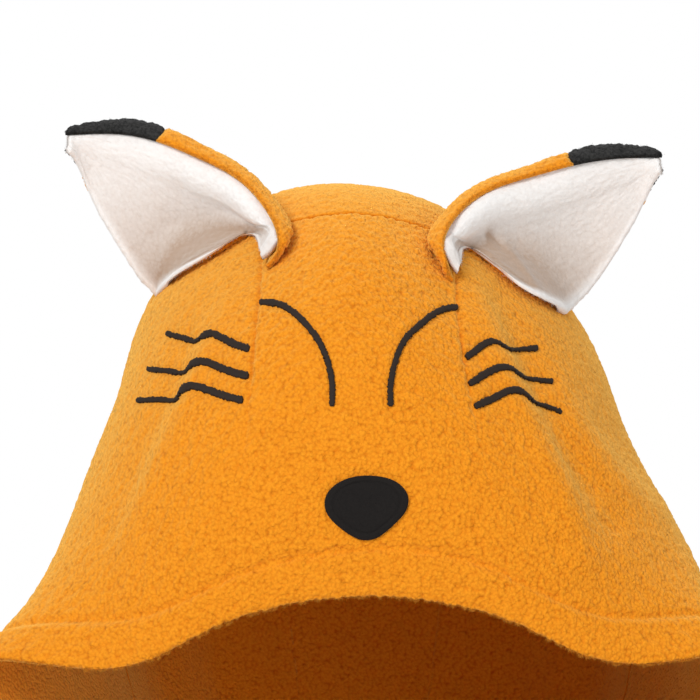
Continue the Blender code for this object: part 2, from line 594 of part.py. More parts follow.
def sleeve_points(front, back, sign):
    """The sleeve's rings, from the armhole, whose points are the panels' own, to the cuff."""
    hole = [row for row, b in enumerate(BODY_ROWS) if b <= UNDERARM]
    armhole = np.concatenate([front[hole, -1], back[hole[-2:0:-1], -1]]) * (sign, 1, 1)
    beside = unit(np.cross(np.subtract(ELBOW, SHOULDER), np.subtract(WRIST, ELBOW)))
    centres = np.array([armhole.mean(axis=0)] + [row[1] for row in SLEEVE_RINGS], float)
    across = unit(np.cross(beside, centres[1] - centres[0]))
    spread = armhole - centres[0]
    angles = np.unwrap(np.arctan2(spread @ beside / ARMHOLE_REACH[1], spread @ across / ARMHOLE_REACH[0]))
    rings = [armhole]
    tangents = np.gradient(centres, axis=0)
    for (_, centre, half_across, half_beside), along in zip(SLEEVE_RINGS, tangents[1:]):
        across = unit(np.cross(beside, along))
        rings.append(np.array(centre) + np.outer(np.cos(angles), across) * half_across
                     + np.outer(np.sin(angles), beside) * half_beside)
    places = np.array([0.0] + [row[0] for row in SLEEVE_RINGS])
    points = spline_at(places, np.array(rings), np.linspace(0, 1, SLEEVE_ROWS + 1))
    return points * (sign, 1, 1)


def make_body():
    """The four panels of the body, the sleeves and the cuffs."""
    grids = body_grids()
    for name, (points, normals) in grids.items():
        sleeve = name.startswith("sleeve")
        if sleeve:
            moved = points.copy()
            moved[0] += unit(points[1] - points[0]) * ARMHOLE_GAP
            moved[-1] += unit(points[-2] - points[-1]) * SEAM / 2
        else:
            moved = pull_in(points, (SEAM, SEAM, SEAM, SEAM))
        half = normals * CLOTH / 2
        make_wall(name, moved - half, moved + half, "orange fleece", wrap=sleeve)
    for side in ("left", "right"):
        sleeve = grids["sleeve_" + side][0]
        make_cuff("cuff_wrist_" + side, sleeve[-1], sleeve[-1].mean(axis=0) - sleeve[-2].mean(axis=0))
        leg = np.concatenate([grids["front_" + side][0][-1], grids["back_" + side][0][-1, -2:0:-1]])
        make_cuff("cuff_ankle_" + side, leg, np.array((0, 0, -1.0)))


def make_cuff(name, ring, axis):
    """A cuff that goes on from the last ring of a sleeve or a leg."""
    centre = ring.mean(axis=0)
    axis = unit(axis)
    points = np.array([centre + (ring - centre) * scale + axis * along for along, scale in CUFF_ROWS])
    normals = grid_normals(points, wrap=True)
    outward = np.sign((normals * (points - points.mean(axis=1, keepdims=True))).sum())
    normals *= outward
    make_wall(name, points - normals * RIB / 2, points + normals * RIB / 2, "orange fleece", wrap=True)


def tree_of(*objects):
    """One search tree for the faces of several objects."""
    verts = []
    faces = []
    for made in objects:
        start = len(verts)
        verts += [vert.co.copy() for vert in made.data.vertices]
        faces += [[start + index for index in face.vertices] for face in made.data.polygons]
    return BVHTree.FromPolygons(verts, faces)


def hood_outside():
    """A search tree of the hood's whole outer surface, without seams, with its faces turned outward."""
    a, b = np.meshgrid(np.linspace(-1, 1, SKIN_COLUMNS + 1), np.linspace(0, 1, SKIN_ROWS + 1))
    points = hood_surface(a, b) + normals_of(hood_surface, a, np.clip(b, STEP, 1 - STEP)) * CLOTH / 2
    corner = np.arange(a.size).reshape(a.shape)
    faces = np.stack([corner[:-1, :-1], corner[:-1, 1:], corner[1:, 1:], corner[1:, :-1]], axis=-1)
    return BVHTree.FromPolygons((points.reshape(-1, 3) * MM).tolist(), faces.reshape(-1, 4).tolist())


def laid_on(tree, x, z, lift, height):
    """Lower and upper points of what lies on the front of a piece at (x, z)."""
    spots = []
    normals = []
    for px, pz in zip(np.ravel(x), np.ravel(z)):
        spot, normal, _, _ = tree.ray_cast(Vector((px * MM, -1, pz * MM)), Vector((0, 1, 0)))
        spots.append(np.array(spot) / MM)
        normals.append(np.array(normal))
    spots = np.array(spots).reshape(np.shape(x) + (3,))
    normals = np.array(normals).reshape(spots.shape)
    normals = unit(normals + normals.mean(axis=(0, 1)) * NORMAL_BLEND)
    return spots + normals * lift, spots + normals * (lift + height)


def make_stitch(name, tree, path):
    """A raised row of satin stitch along a line."""
    path = np.array(path, float)
    lengths = np.concatenate([[0], np.cumsum(np.linalg.norm(np.diff(path, axis=0), axis=1))])
    count = max(5, int(lengths[-1] / STITCH_STEP))
    line = spline_at(lengths, path, np.linspace(0, lengths[-1], count + 1))
    run = unit(np.gradient(line, axis=0))
    square = np.stack([-run[:, 1], run[:, 0]], axis=1)
    offsets = np.array([-0.5, 0, 0.5]) * STITCH_WIDTH
    spots = line[:, None] + square[:, None] * offsets[:, None]
    lower, upper = laid_on(tree, spots[..., 0], spots[..., 1], STITCH_LIFT, STITCH_HEIGHT)
    make_wall(name, lower, upper, "dark thread")


def make_face(panels):
    """Eyes and nose on the face panel, and three whiskers on each cheek."""
    face, _, cheek_left, _, cheek_right, _ = panels
    trees = {"face": tree_of(face), "left": tree_of(cheek_left), "right": tree_of(cheek_right)}
    for name, path in STITCH_LINES.items():
        kind, side = name.split("_")[:2]
        make_stitch(name, trees["face" if kind == "eye" else side], path)
    rows = np.array(NOSE_ROWS, float)
    share = np.linspace(0, 1, NOSE_COLUMNS + 1)
    x = rows[:, 1:2] + (rows[:, 2:3] - rows[:, 1:2]) * share
    z = np.repeat(rows[:, :1], len(share), axis=1)
    lower, upper = laid_on(trees["face"], x, z, STITCH_LIFT, NOSE_HEIGHT)
    make_wall("nose", lower, upper, "black felt")


def make_placket(front_left, front_right):
    """A strip over the centre front, from the neck to below the waist, and its buttons."""
    tree = tree_of(front_left, front_right)
    surface = body_surface("front", 1)
    rows = [b for b in BODY_ROWS if PLACKET_TOP < b <= PLACKET_END]
    rows = sorted([PLACKET_TOP, PLACKET_END] + rows + [(p + q) / 2 for p, q in zip(rows, rows[1:])])
    z = surface(np.zeros(len(rows)), np.array(rows))[:, 2]
    x, z = np.meshgrid(np.array(PLACKET_ACROSS) * PLACKET_WIDTH, z)
    lower, upper = laid_on(tree, x, z, STITCH_LIFT, CLOTH)
    placket = make_wall("placket", lower, upper, "orange fleece")
    tree = tree_of(placket)
    for number, place in enumerate(BUTTON_PLACES, 1):
        height = surface(np.zeros(1), np.array([place]))[0, 2]
        spot, normal, _, _ = tree.ray_cast(Vector((0, -1, height * MM)), Vector((0, 1, 0)))
        bm = bmesh.new()
        bmesh.ops.create_cone(bm, cap_ends=True, segments=BUTTON_SIDES, radius1=BUTTON_RADIUS * MM,
                              radius2=BUTTON_RADIUS * MM, depth=BUTTON_THICK * MM)
        rims = [edge for edge in bm.edges if any(len(face.verts) > 4 for face in edge.link_faces)]
        bmesh.ops.bevel(bm, geom=rims, offset=BUTTON_BEVEL * MM, segments=1, affect="EDGES", profile=0.5)
        mesh = bpy.data.meshes.new("button_%d" % number)
        bm.to_mesh(mesh)
        bm.free()
        button = make_object("button_%d" % number, mesh, "button")
        button.rotation_mode = "QUATERNION"
        button.rotation_quaternion = normal.to_track_quat("Z", "Y")
        button.location = spot + normal * (BUTTON_GAP + BUTTON_THICK / 2) * MM


def main():
    for old in list(bpy.data.objects):
        bpy.data.objects.remove(old, do_unlink=True)
    for name, color, roughness in FINISHES:
        MATERIALS[name] = make_material(name, color, roughness)
    panels = make_hood()
    make_face(panels)
    hood = hood_outside()
    make_ear("left", hood)
    make_ear("right", hood)
    make_body()
    make_placket(bpy.data.objects["front_left"], bpy.data.objects["front_right"])


main()
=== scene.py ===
import bpy
import numpy as np
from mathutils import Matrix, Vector
from mathutils.bvhtree import BVHTree


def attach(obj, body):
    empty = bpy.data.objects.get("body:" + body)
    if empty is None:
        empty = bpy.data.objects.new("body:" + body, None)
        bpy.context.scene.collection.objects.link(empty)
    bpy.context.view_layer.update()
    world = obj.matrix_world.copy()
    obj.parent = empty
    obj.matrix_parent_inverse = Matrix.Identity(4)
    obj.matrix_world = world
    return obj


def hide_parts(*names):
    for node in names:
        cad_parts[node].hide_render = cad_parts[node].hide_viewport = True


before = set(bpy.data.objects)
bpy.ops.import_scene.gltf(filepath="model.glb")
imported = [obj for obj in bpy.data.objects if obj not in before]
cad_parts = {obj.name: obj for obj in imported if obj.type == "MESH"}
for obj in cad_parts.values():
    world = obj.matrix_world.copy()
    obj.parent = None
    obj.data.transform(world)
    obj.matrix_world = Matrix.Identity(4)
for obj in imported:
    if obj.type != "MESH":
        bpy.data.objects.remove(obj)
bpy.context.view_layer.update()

# All shapes are worked out in millimetres and made in metres. a runs across a piece and b along it.
mm = 0.001
dice = np.random.default_rng(11)
# tone of the pile (the attribute 'pile'), from -2.5, dark, to 1, light. The insides' -2.5 is a painted shade, and
# the fibres' darker roots are a painted shade too
tones = {"mean": 0.6, "inside": -2.5, "insidePlush": 0.8, "fibreRoot": 0.5, "fibreTip": 0.9}
hashing = {"axes": (127.1, 311.7, 74.7), "steps": (0, 1.7, 4.3), "gain": 43758.5453}
clumpShape = {"bend": 0.22, "bendPace": 2.1, "crease": 0.45, "creaseShare": 0.6}
fuzz = {"radius": 0.08, "fringeRadius": 0.10, "spread": 0.7, "scatter": 0.35}   # fibres along the free edges


def unit(v):
    return v / np.linalg.norm(v, axis=-1, keepdims=True)


def limit(x):
    return np.clip(x, 0, 1)


# a bell curve: exp(-(x / width)^2)
def bell(x, width):
    return np.exp(-(x / width) ** 2)


# a fold's height along its path, place from 0 to 1: sqrt(sin(pi place)), kept off its ends
def swell(place, ends):
    return np.sin(np.pi * np.clip(place, *ends)) ** 0.5


def pairOf(a, b):
    return np.broadcast_arrays(np.asarray(a, float), np.asarray(b, float))


def gridOf(aRange, bRange, columns, rows):
    return np.meshgrid(np.linspace(*aRange, columns + 1), np.linspace(*bRange, rows + 1))


# a square from -1 to 1 bent to a disc: x = u sqrt(1 - v^2 / 2), y = v sqrt(1 - u^2 / 2)
def discGrid(uRange, vRange, steps):
    u, v = gridOf(uRange, vRange, steps, steps)
    return u * np.sqrt(1 - v**2 / 2), v * np.sqrt(1 - u**2 / 2)


# length of a path up to each of its points
def lengthsTo(path):
    return np.concatenate([[0], np.cumsum(np.linalg.norm(np.diff(path, axis=0), axis=1))])


# natural cubic spline: on each stretch, the straight line plus bend * ((x^3 - x) of either end)
def splineAt(knots, values, at):
    knots, values, at = np.asarray(knots, float), np.asarray(values, float), np.asarray(at, float)
    step = np.diff(knots)
    slope = (np.diff(values, axis=0).T / step).T
    count = len(knots)
    matrix, right = np.eye(count), np.zeros(values.shape)
    for i in range(1, count - 1):
        matrix[i, i - 1: i + 2] = step[i - 1], 2 * (step[i - 1] + step[i]), step[i]
        right[i] = 6 * (slope[i] - slope[i - 1])
    bend = np.linalg.solve(matrix, right.reshape(count, -1)).reshape(values.shape)
    i = np.clip(np.searchsorted(knots, at, side="right") - 1, 0, count - 2)
    shape = at.shape + (1,) * (values.ndim - 1)
    h, before, after = (v.reshape(shape) for v in (step[i], knots[i + 1] - at, at - knots[i]))
    curve = (bend[i] * before**3 + bend[i + 1] * after**3) / (6 * h)
    return curve + (values[i] / h - bend[i] * h / 6) * before + (values[i + 1] / h - bend[i + 1] * h / 6) * after


# surface through a net of points: splines along b, then splines across a
def netAt(along, across, net, a, b):
    a, b = pairOf(a, b)
    rows = splineAt(along, net, b.ravel())
    weights = splineAt(across, np.eye(len(across)), a.ravel())
    return np.einsum("nk,nkc->nc", weights, rows).reshape(a.shape + (3,))


# a surface's normals: cross product of its small steps across and along
def normalsOf(surface, a, b, step=0.002):
    across = surface(a + step, b) - surface(a - step, b)
    along = surface(a, b + step) - surface(a, b - step)
    return unit(np.cross(across, along))


# the same from the points of a grid, whose first and last columns are neighbours where it wraps
def gridNormals(points, wrap=False):
    if wrap:
        across = np.roll(points, -1, axis=1) - np.roll(points, 1, axis=1)
    else:
        across = np.gradient(points, axis=1)
    return unit(np.cross(across, np.gradient(points, axis=0)))


# distance from (x, z) to a path of straight runs, and the place along it from 0 to 1
def distanceToPath(x, z, path):
    path = np.array(path, float)
    starts = lengthsTo(path)
    starts = starts / starts[-1]
    best, place = np.full(np.shape(x), np.inf), np.zeros(np.shape(x))
    for i, (start, end) in enumerate(zip(path[:-1], path[1:])):
        run = end - start
        t = limit(((x - start[0]) * run[0] + (z - start[1]) * run[1]) / (run @ run))
        distance = np.hypot(x - start[0] - t * run[0], z - start[1] - t * run[1])
        place = np.where(distance < best, starts[i] + t * (starts[i + 1] - starts[i]), place)
        best = np.minimum(distance, best)
    return best, place


# three numbers from 0 to 1 for each cube of a lattice: the fraction of a large sine
def scatter(cubes, seed):
    k = cubes @ np.array(hashing["axes"]) + seed
    return np.modf(np.abs(np.sin(k[..., None] + hashing["steps"]) * hashing["gain"]))[0]


# clumps: one random spot in each cube of side 'cell', with first and second the distances to the two nearest spots.
# c = (second - first) / crease, up to 1; height = share * c (2 - c) + (1 - share) * (1 - first)
def clumps(points, cell, seed):
    spots = points / cell
    spots = spots + clumpShape["bend"] * np.sin(spots[..., [1, 2, 0]] * clumpShape["bendPace"] + seed)
    base = np.floor(spots)
    first, second = np.full(spots.shape[:-1], 9.0), np.full(spots.shape[:-1], 9.0)
    for shift in np.ndindex(3, 3, 3):
        cubes = base + np.array(shift) - 1
        distance = np.linalg.norm(spots - cubes - scatter(cubes, seed), axis=-1)
        second = np.minimum(second, np.maximum(first, distance))
        first = np.minimum(first, distance)
    crease, share = limit((second - first) / clumpShape["crease"]), clumpShape["creaseShare"]
    return crease * (2 - crease) * share + (1 - limit(first)) * (1 - share)


# length from each of a grid's four edges: first column, last column, first row, last row
def edgeDistances(points):
    across = np.linalg.norm(np.diff(points, axis=1), axis=-1)
    along = np.linalg.norm(np.diff(points, axis=0), axis=-1)
    left = np.concatenate([np.zeros((len(points), 1)), np.cumsum(across, axis=1)], axis=1)
    top = np.concatenate([np.zeros((1, points.shape[1])), np.cumsum(along, axis=0)], axis=0)
    return left, left[:, -1:] - left, top, top[-1:] - top


def linked(name, data):
    made = bpy.data.objects.new(name, data)
    bpy.context.collection.objects.link(made)
    return made


# the four-sided faces of a grid of point numbers
def gridFaces(c):
    return np.stack([c[:-1, :-1], c[:-1, 1:], c[1:, 1:], c[1:, :-1]], axis=-1).reshape(-1, 4)


def meshObject(name, points, quads, triangles, tone, material):
    mesh = bpy.data.meshes.new(name)
    mesh.vertices.add(len(points))
    mesh.vertices.foreach_set("co", (points * mm).astype(np.float32).ravel())
    loops = np.concatenate([quads.ravel(), triangles.ravel()])
    mesh.loops.add(len(loops))
    mesh.loops.foreach_set("vertex_index", loops.astype(np.int32))
    mesh.polygons.add(len(quads) + len(triangles))
    starts = np.concatenate([np.arange(len(quads)) * 4, len(quads) * 4 + np.arange(len(triangles)) * 3])
    mesh.polygons.foreach_set("loop_start", starts.astype(np.int32))
    mesh.update(calc_edges=True)
    mesh.validate()
    mesh.shade_smooth()
    mesh.attributes.new("pile", "FLOAT", "POINT").data.foreach_set("value", tone.astype(np.float32))
    mesh.materials.append(material)
    return linked(name, mesh)


# a cloth shell: a fine grid outside, every second point of it inside, and a rim between the two edges
def shell(name, outer, inner, material, tone=None, wrap=False, insideTone=tones["inside"]):
    tone = np.full(outer.shape[:2], tones["mean"]) if tone is None else tone
    middle = tuple(n // 2 for n in outer.shape[:2])
    out = gridNormals(outer, wrap)[middle]
    if (outer[middle] - inner[middle[0] // 2, middle[1] // 2]) @ out < 0:
        outer, inner, tone = outer[:, ::-1], inner[:, ::-1], tone[:, ::-1]
        if wrap:
            outer, inner, tone = np.roll(outer, 1, axis=1), np.roll(inner, 1, axis=1), np.roll(tone, 1, axis=1)
    o = np.arange(outer[..., 0].size).reshape(outer.shape[:2])
    n = np.arange(inner[..., 0].size).reshape(inner.shape[:2]) + o.size
    if wrap:
        o, n = np.c_[o, o[:, :1]], np.c_[n, n[:, :1]]
        loops = [(o[0, :-1], n[0, :-1]), (o[-1, :0:-1], n[-1, :0:-1])]
    else:
        loops = [tuple(np.concatenate([g[0, :-1], g[:-1, -1], g[-1, :0:-1], g[:0:-1, 0]]) for g in (o, n))]
    inside = np.roll(gridFaces(n)[:, ::-1], 1, axis=1)
    triangles = []
    for fine, coarse in loops:
        start, half, end = fine[0::2], fine[1::2], np.roll(fine, -1)[1::2]
        follow = np.roll(coarse, -1)
        triangles += [np.c_[half, start, coarse], np.c_[half, coarse, follow], np.c_[end, half, follow]]
    points = np.concatenate([outer.reshape(-1, 3), inner.reshape(-1, 3)])
    # the inside takes insideTone, for fleece -2.5: a painted shade
    tone = np.concatenate([tone.ravel(), np.full(inner[..., 0].size, insideTone)])
    quads, triangles = np.concatenate([gridFaces(o), inside]), np.concatenate(triangles)
    return meshObject(name, points, quads, triangles, tone, material)


# fibres: thin three-sided spikes, each three corners round its root and one tip
def fibres(name, roots, along, lengths, radius, material):
    side = unit(np.cross(along, dice.normal(size=roots.shape)))
    other = np.cross(along, side)
    turns = np.arange(3)[:, None] * 2 * np.pi / 3
    ring = roots[:, None] + radius * (np.cos(turns) * side[:, None] + np.sin(turns) * other[:, None])
    tips = roots + along * lengths[:, None]
    points = np.concatenate([ring, tips[:, None]], axis=1).reshape(-1, 3)
    corners = np.array([(0, 2, 1), (0, 1, 3), (1, 2, 3), (2, 0, 3)])
    triangles = (np.arange(len(roots))[:, None, None] * 4 + corners).reshape(-1, 3)
    # fibres darker at the root than at the tip: a painted shade at the root
    tone = np.tile([tones["fibreRoot"]] * 3 + [tones["fibreTip"]], len(roots))
    return meshObject(name, points, np.zeros((0, 4), int), triangles, tone, material)


# count fibres along an edge given by points and outward directions: roots by chance, each leaning its own way
def edgeFibres(name, edge, outward, count, lengths, radius, material):
    lastRun = len(edge) - 1.001
    place = dice.uniform(0, lastRun, count)
    low = place.astype(int)
    share = (place - low)[:, None]
    roots = edge[low] * (1 - share) + edge[low + 1] * share + dice.normal(size=(count, 3)) * fuzz["scatter"]
    lean = unit(outward[low] + dice.normal(size=(count, 3)) * fuzz["spread"])
    return fibres(name, roots, lean, dice.uniform(*lengths, count), radius, material)


# what every piece gets: it rides on the root, and the node it stands for is hidden
def trim(made, node=None):
    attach(made, "root")
    if node:
        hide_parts(node)
    return made


def cloth(made, node, slotName, flat, area, held="stretched", withPieces=()):
    trim(made, node)


# a material with these values on its Principled BSDF
def painted(name, values):
    made = bpy.data.materials.new(name)
    made.use_nodes = True
    for socket, value in values.items():
        made.node_tree.nodes["Principled BSDF"].inputs[socket].default_value = value
    return made


def plain(name, colour, roughness, specular=0.5, coat=0.0):
    return painted(name, {"Base Color": (*colour, 1), "Roughness": roughness, "Specular IOR Level": specular,
                          "Coat Weight": coat})


nap = {
    "specular": 0.06,
    "dome": 1.1,                # how steeply a knob falls
    "bend": 0.7,                # how far the creases wander
    "patch": 1.6,               # size of the patches that creases run in, in curls
    "patchContrast": 4, "patchStart": -1.4,
    "tone": 0.68,               # mean tone
    "blotch": 26,               # size of the broad changes of tone
}


# napped cloth. Its grain is curled knobs, 1 - dome * d^2 at the distance d from the middle of each, and a noise.
# Creases run where a noise crosses 0.5, in patches that another lets through:
# crease = patch * (1 - |noise - 0.5| / breadth). Tone = grain + clumps (the attribute 'pile') + blotches - crease.
# The creases' darkening is painted shade, and so are the darker rims of the knobs and clumps round their lighter
# tops.
# Grain and creases are also bump, and where the cloth turns away the colour is mixed towards 'tips': a painted
# sheen of the pile's tips.
def napped(name, look):
    made = painted(name, {"Roughness": look["roughness"], "Specular IOR Level": nap["specular"],
                          "Sheen Weight": look["sheen"], "Sheen Roughness": look["sheenRoughness"],
                          "Sheen Tint": (*look["sheenTint"], 1)})
    nodes, links = made.node_tree.nodes, made.node_tree.links
    shader = nodes["Principled BSDF"]
    place = nodes.new("ShaderNodeTexCoord").outputs["Object"]

    def noise(size, detail, distortion=0.0):
        node = nodes.new("ShaderNodeTexNoise")
        node.inputs["Scale"].default_value = 1 / (size * mm)
        node.inputs["Detail"].default_value = detail
        node.inputs["Distortion"].default_value = distortion
        links.new(place, node.inputs["Vector"])
        return node.outputs["Fac"]

    def sums(operation, *values, clamp=False):
        node = nodes.new("ShaderNodeMath")
        node.operation = operation
        node.use_clamp = clamp
        for value, socket in zip(values, node.inputs):
            if isinstance(value, (int, float)):
                socket.default_value = value
            else:
                links.new(value, socket)
        return node.outputs[0]

    def mix(factor, first, colour):
        node = nodes.new("ShaderNodeMix")
        node.data_type = "RGBA"
        node.inputs["B"].default_value = (*colour, 1)
        links.new(factor, node.inputs["Factor"])
        if isinstance(first, tuple):
            node.inputs["A"].default_value = (*first, 1)
        else:
            links.new(first, node.inputs["A"])
        return node.outputs["Result"]

    pile = nodes.new("ShaderNodeAttribute")
    pile.attribute_name = "pile"
    knobs = nodes.new("ShaderNodeTexVoronoi")
    knobs.inputs["Scale"].default_value = 1 / (look["knob"] * mm)
    links.new(place, knobs.inputs["Vector"])
    dome = sums("MULTIPLY_ADD", sums("POWER", knobs.outputs["Distance"], 2), -nap["dome"], 1)
    grain = sums("MULTIPLY", noise(look["grain"], 2), 1 - look["knobs"])
    grain = sums("MULTIPLY_ADD", dome, look["knobs"], grain)
    away = sums("ABSOLUTE", sums("SUBTRACT", noise(look["curl"], 1, nap["bend"]), 0.5))
    line = sums("SUBTRACT", 1, sums("MULTIPLY", away, 1 / look["crease"]), clamp=True)
    patch = noise(nap["patch"] * look["curl"], 1)
    patch = sums("MULTIPLY_ADD", patch, nap["patchContrast"], nap["patchStart"], clamp=True)
    crease = sums("MULTIPLY", line, patch)
    # the grain, the clumps and the blotches have the means 0.5, 0.6 and 0.5
    middle = nap["tone"] - 0.5 * look["grains"] - 0.6 * look["clumps"] - 0.5 * look["blotches"]
    tone = sums("MULTIPLY_ADD", noise(nap["blotch"], 2), look["blotches"], middle)
    tone = sums("MULTIPLY_ADD", pile.outputs["Fac"], look["clumps"], tone)
    tone = sums("MULTIPLY_ADD", grain, look["grains"], tone)
    # painted shade in the creases
    tone = sums("MULTIPLY_ADD", crease, -look["creases"], tone, clamp=True)
    # painted sheen: the colour goes towards 'tips' where the cloth turns away
    turned = nodes.new("ShaderNodeLayerWeight")
    turned.inputs["Blend"].default_value = 0.5
    facing = sums("MULTIPLY", sums("POWER", turned.outputs["Facing"], 2), look["turned"])
    links.new(mix(facing, mix(tone, look["deep"], look["colour"]), look["tips"]), shader.inputs["Base Color"])
    bump = nodes.new("ShaderNodeBump")
    bump.inputs["Strength"].default_value = 1.0
    bump.inputs["Distance"].default_value = look["bump"] * mm
    links.new(sums("MULTIPLY_ADD", crease, -look["creases"], grain), bump.inputs["Height"])
    links.new(bump.outputs["Normal"], shader.inputs["Normal"])
    return made


fleeceLook = {
    "colour": (0.80, 0.288, 0.015), "deep": (0.55, 0.116, 0.002), "roughness": 0.95,
    "tips": (1.0, 0.58, 0.12),   # colour of a painted sheen on the pile's tips, and how much it shows where the cloth turns away
    "turned": 0.8,
    "sheen": 0.10, "sheenRoughness": 0.4, "sheenTint": (1.0, 0.8, 0.3),
    "curl": 2.1,                 # size of the noise that the creases run in
    "crease": 0.06,              # breadth of the creases
    "creases": 0.06,             # their painted shade and their depth
    "knob": 1.5,                 # size of the curled knobs, and their share of the grain
    "knobs": 0.5,
    "grain": 1.7,                # size of the grain's noise
    "grains": 0.9,               # tone of the grain
    "clumps": 0.12,              # tone of the attribute 'pile': clumps darker in their pits, seams and insides, all painted shade
    "blotches": 0.07,            # tone of the broad changes
    "bump": 1.15,                # height of the grain
}
blackLook = {
    "colour": (0.040, 0.039, 0.038), "deep": (0.007, 0.0078, 0.0075), "roughness": 0.95,
    "tips": (0.07, 0.07, 0.07), "turned": 0.5, "sheen": 0.03, "sheenRoughness": 0.45, "sheenTint": (1, 1, 1),
    "curl": 2.1, "crease": 0.06, "creases": 0.4, "grain": 1.5, "grains": 1.0, "clumps": 0.3, "blotches": 0.2,
    "bump": 1.2, "knob": 1.5, "knobs": 0.6,
}
plushLook = {
    # 'deep' is the colour of the painted shade in the ears' hollows
    "colour": (0.80, 0.775, 0.755), "deep": (0.40, 0.285, 0.21), "roughness": 0.95,
    "tips": (0.92, 0.90, 0.88), "turned": 0.5, "sheen": 0.05, "sheenRoughness": 0.5, "sheenTint": (1, 1, 1),
    "curl": 4.0, "crease": 0.1, "creases": 0.04, "grain": 1.2, "grains": 0.25, "clumps": 1.0, "blotches": 0.12,
    "bump": 0.25, "knob": 1.6, "knobs": 0.4,
}
feltLook = {
    "colour": (0.016, 0.014, 0.013), "deep": (0.008, 0.007, 0.007), "roughness": 0.9,
    "tips": (0.03, 0.03, 0.03), "turned": 0.3, "sheen": 0.02, "sheenRoughness": 0.4, "sheenTint": (1, 1, 1),
    "curl": 1.2, "crease": 0.08, "creases": 0.3, "grain": 0.6, "grains": 0.8, "clumps": 0.4, "blotches": 0.3,
    "bump": 0.05, "knob": 0.6, "knobs": 0.2,
}
fleece = napped("orange fleece", fleeceLook)
blackFleece = napped("black fleece", blackLook)
plush = napped("white plush", plushLook)
felt = napped("black felt", feltLook)
thread = plain("dark thread", (0.021, 0.013, 0.009), 0.65, specular=0.2)
buttonFinish = plain("button", (0.76, 0.25, 0.02), 0.22, coat=0.4)
print("finishes made")

# places round the neck seam, from 0 at the front to 1 at the back, and their points on the left
neckPlaces = [(0.00, (0, -66, -34)), (0.20, (38, -56, -25)), (0.38, (66, -30, -8)), (0.50, (77, -2, 2)),
              (0.64, (73, 24, 9)), (0.79, (47, 49, 14)), (1.00, (0, 55, 15))]
hoodCut = {
    "cloth": 2.4,          # thickness
    "overNeck": -0.8,      # the lower edge stands this far over the neck ring, sewn into it
    "strip": 0.2,          # place across of the seams beside the face panel
    "crownSeam": 0.5,      # place along of the seam that holds the ears
    "across": (0.0, 0.2, 0.4, 0.6, 0.8, 1.0),
    "sections": [
        # at, middle, strip seam, cheek, side, jaw, foot, drift, lean, tilt
        (0.00, (0, -150, 119), (62, -147, 107), (112, -136, 89), (169, -112, 87), (104, -90, 20),
         0.03, 0, 4, 0.01),
        (0.12, (0, -151, 160), (53, -146.5, 153), (104, -124, 131), (146, -78, 111), (118, -62, 34),
         0.12, 0, 7, 0),
        (0.32, (0, -131, 226), (43.3, -119, 221.5), (90, -88, 204), (124, -34, 160), (123, -18, 62),
         0.27, -4, 11, -0.04),
        (0.50, (0, -76, 278), (41.5, -59, 269.5), (94, -20, 237), (116, 12, 155), (114, 16, 66),
         0.42, -4, 8, -0.04),
        (0.62, (0, -14, 292), (45, -2, 282), (90, 24, 237), (110, 46, 152), (105, 42, 66),
         0.54, -5, 6, -0.07),
        (0.75, (0, 70, 261), (45, 68, 251), (82, 70, 209), (93, 72, 140), (88, 58, 64),
         0.64, -3, 4, -0.05),
        (0.87, (0, 108, 181), (42, 103, 175), (66, 95, 148), (75, 84, 106), (72, 66, 54),
         0.71, 0, 1, -0.02),
        (0.95, (0, 90, 82), (34, 87, 80), (47, 80, 68), (55, 70, 48), (57, 58, 28),
         0.755, 0, 0, 0),
    ],
    "nape": (1.0, 0.90, 0.875, 0.85, 0.82, 0.79),   # the last section's points, as places on the neck ring
    "folds": [
        # height, half width, path (x, z) in the front view
        (4.0, 7.5, [(42, 252), (50, 234), (55.5, 223), (60.5, 211.5), (65.5, 201), (72.6, 188.7), (79, 170),
                    (90, 134)]),
        (-5.0, 8, [(57, 240), (63.5, 222), (69.5, 209.4), (77, 190), (85, 176), (95, 162), (103, 148)]),
        (3.2, 8, [(82, 200), (89, 189), (99.5, 175), (109, 164.5), (124.5, 150.5), (139, 131)]),
        (-2.5, 9, [(92, 198), (102, 185.5), (118, 164), (132, 147)]),
        (3.0, 6.5, [(-61, 239), (-67, 227), (-71.5, 213.5), (-75.5, 203.3), (-88, 175), (-102, 139)]),
        (-3.4, 7, [(-66, 238), (-73, 223.5), (-78, 209.5), (-82, 197), (-92, 176), (-106, 142)]),
    ],
    "foldEnds": (0.04, 0.93),
    "crownFade": 0.06,     # the folds die out over this much before the crown seam,
    "sideFade": (0.9, 0.2),   # and at this place across, over this much
    "footReach": 0.2,      # the outermost share of the width is drawn to the neck ring
    "pile": 1.1,           # height of the fleece's clumps, and the part of a clump that lies level
    "pileMean": 0.55,
    "clump": 3.2,          # their size
    "inside": 0.3,         # how far they show inside
    "pressed": (0.7, 0.5, 0.25),   # under what is sewn on: share of the clumps lost, depth, painted shade
    "seamDip": 1.2,
    "seamWidth": 0.75,
    "seamShade": 3.5,      # painted shade in the seam's groove
    "tuck": 1.3, "tuckDrop": 0.7,   # beside the strip seams the panels run on under one another
    "stripEnds": (0.20, 0.32, 0.0),   # the strip seams fade between these places along, to this share
    "crownShare": 0.6,     # how strong the seam over the head is
    "runOn": 0.0045,       # how far across each panel runs on there
    "pucker": 0.25,        # ripples beside a seam, one to each puckerStep
    "puckerStep": 11, "puckerReach": 6, "puckerWander": 17,
    "hem": 20,             # width of the turned hem, and how far its cloth and its stitch line rise and sink
    "hemRise": 1.0,
    "hemDip": 1.3,
    "hemWidth": 1.7,
    "hemSlopes": (4, 3),   # length of the rise at the stitch line and at the edge
    "hemWander": (0.8, 23),
    "ragged": 1.2,         # how far clumps stand out at the front edge, from this height of a clump
    "raggedFrom": 0.4,
    "raggedReach": 1.5,
}
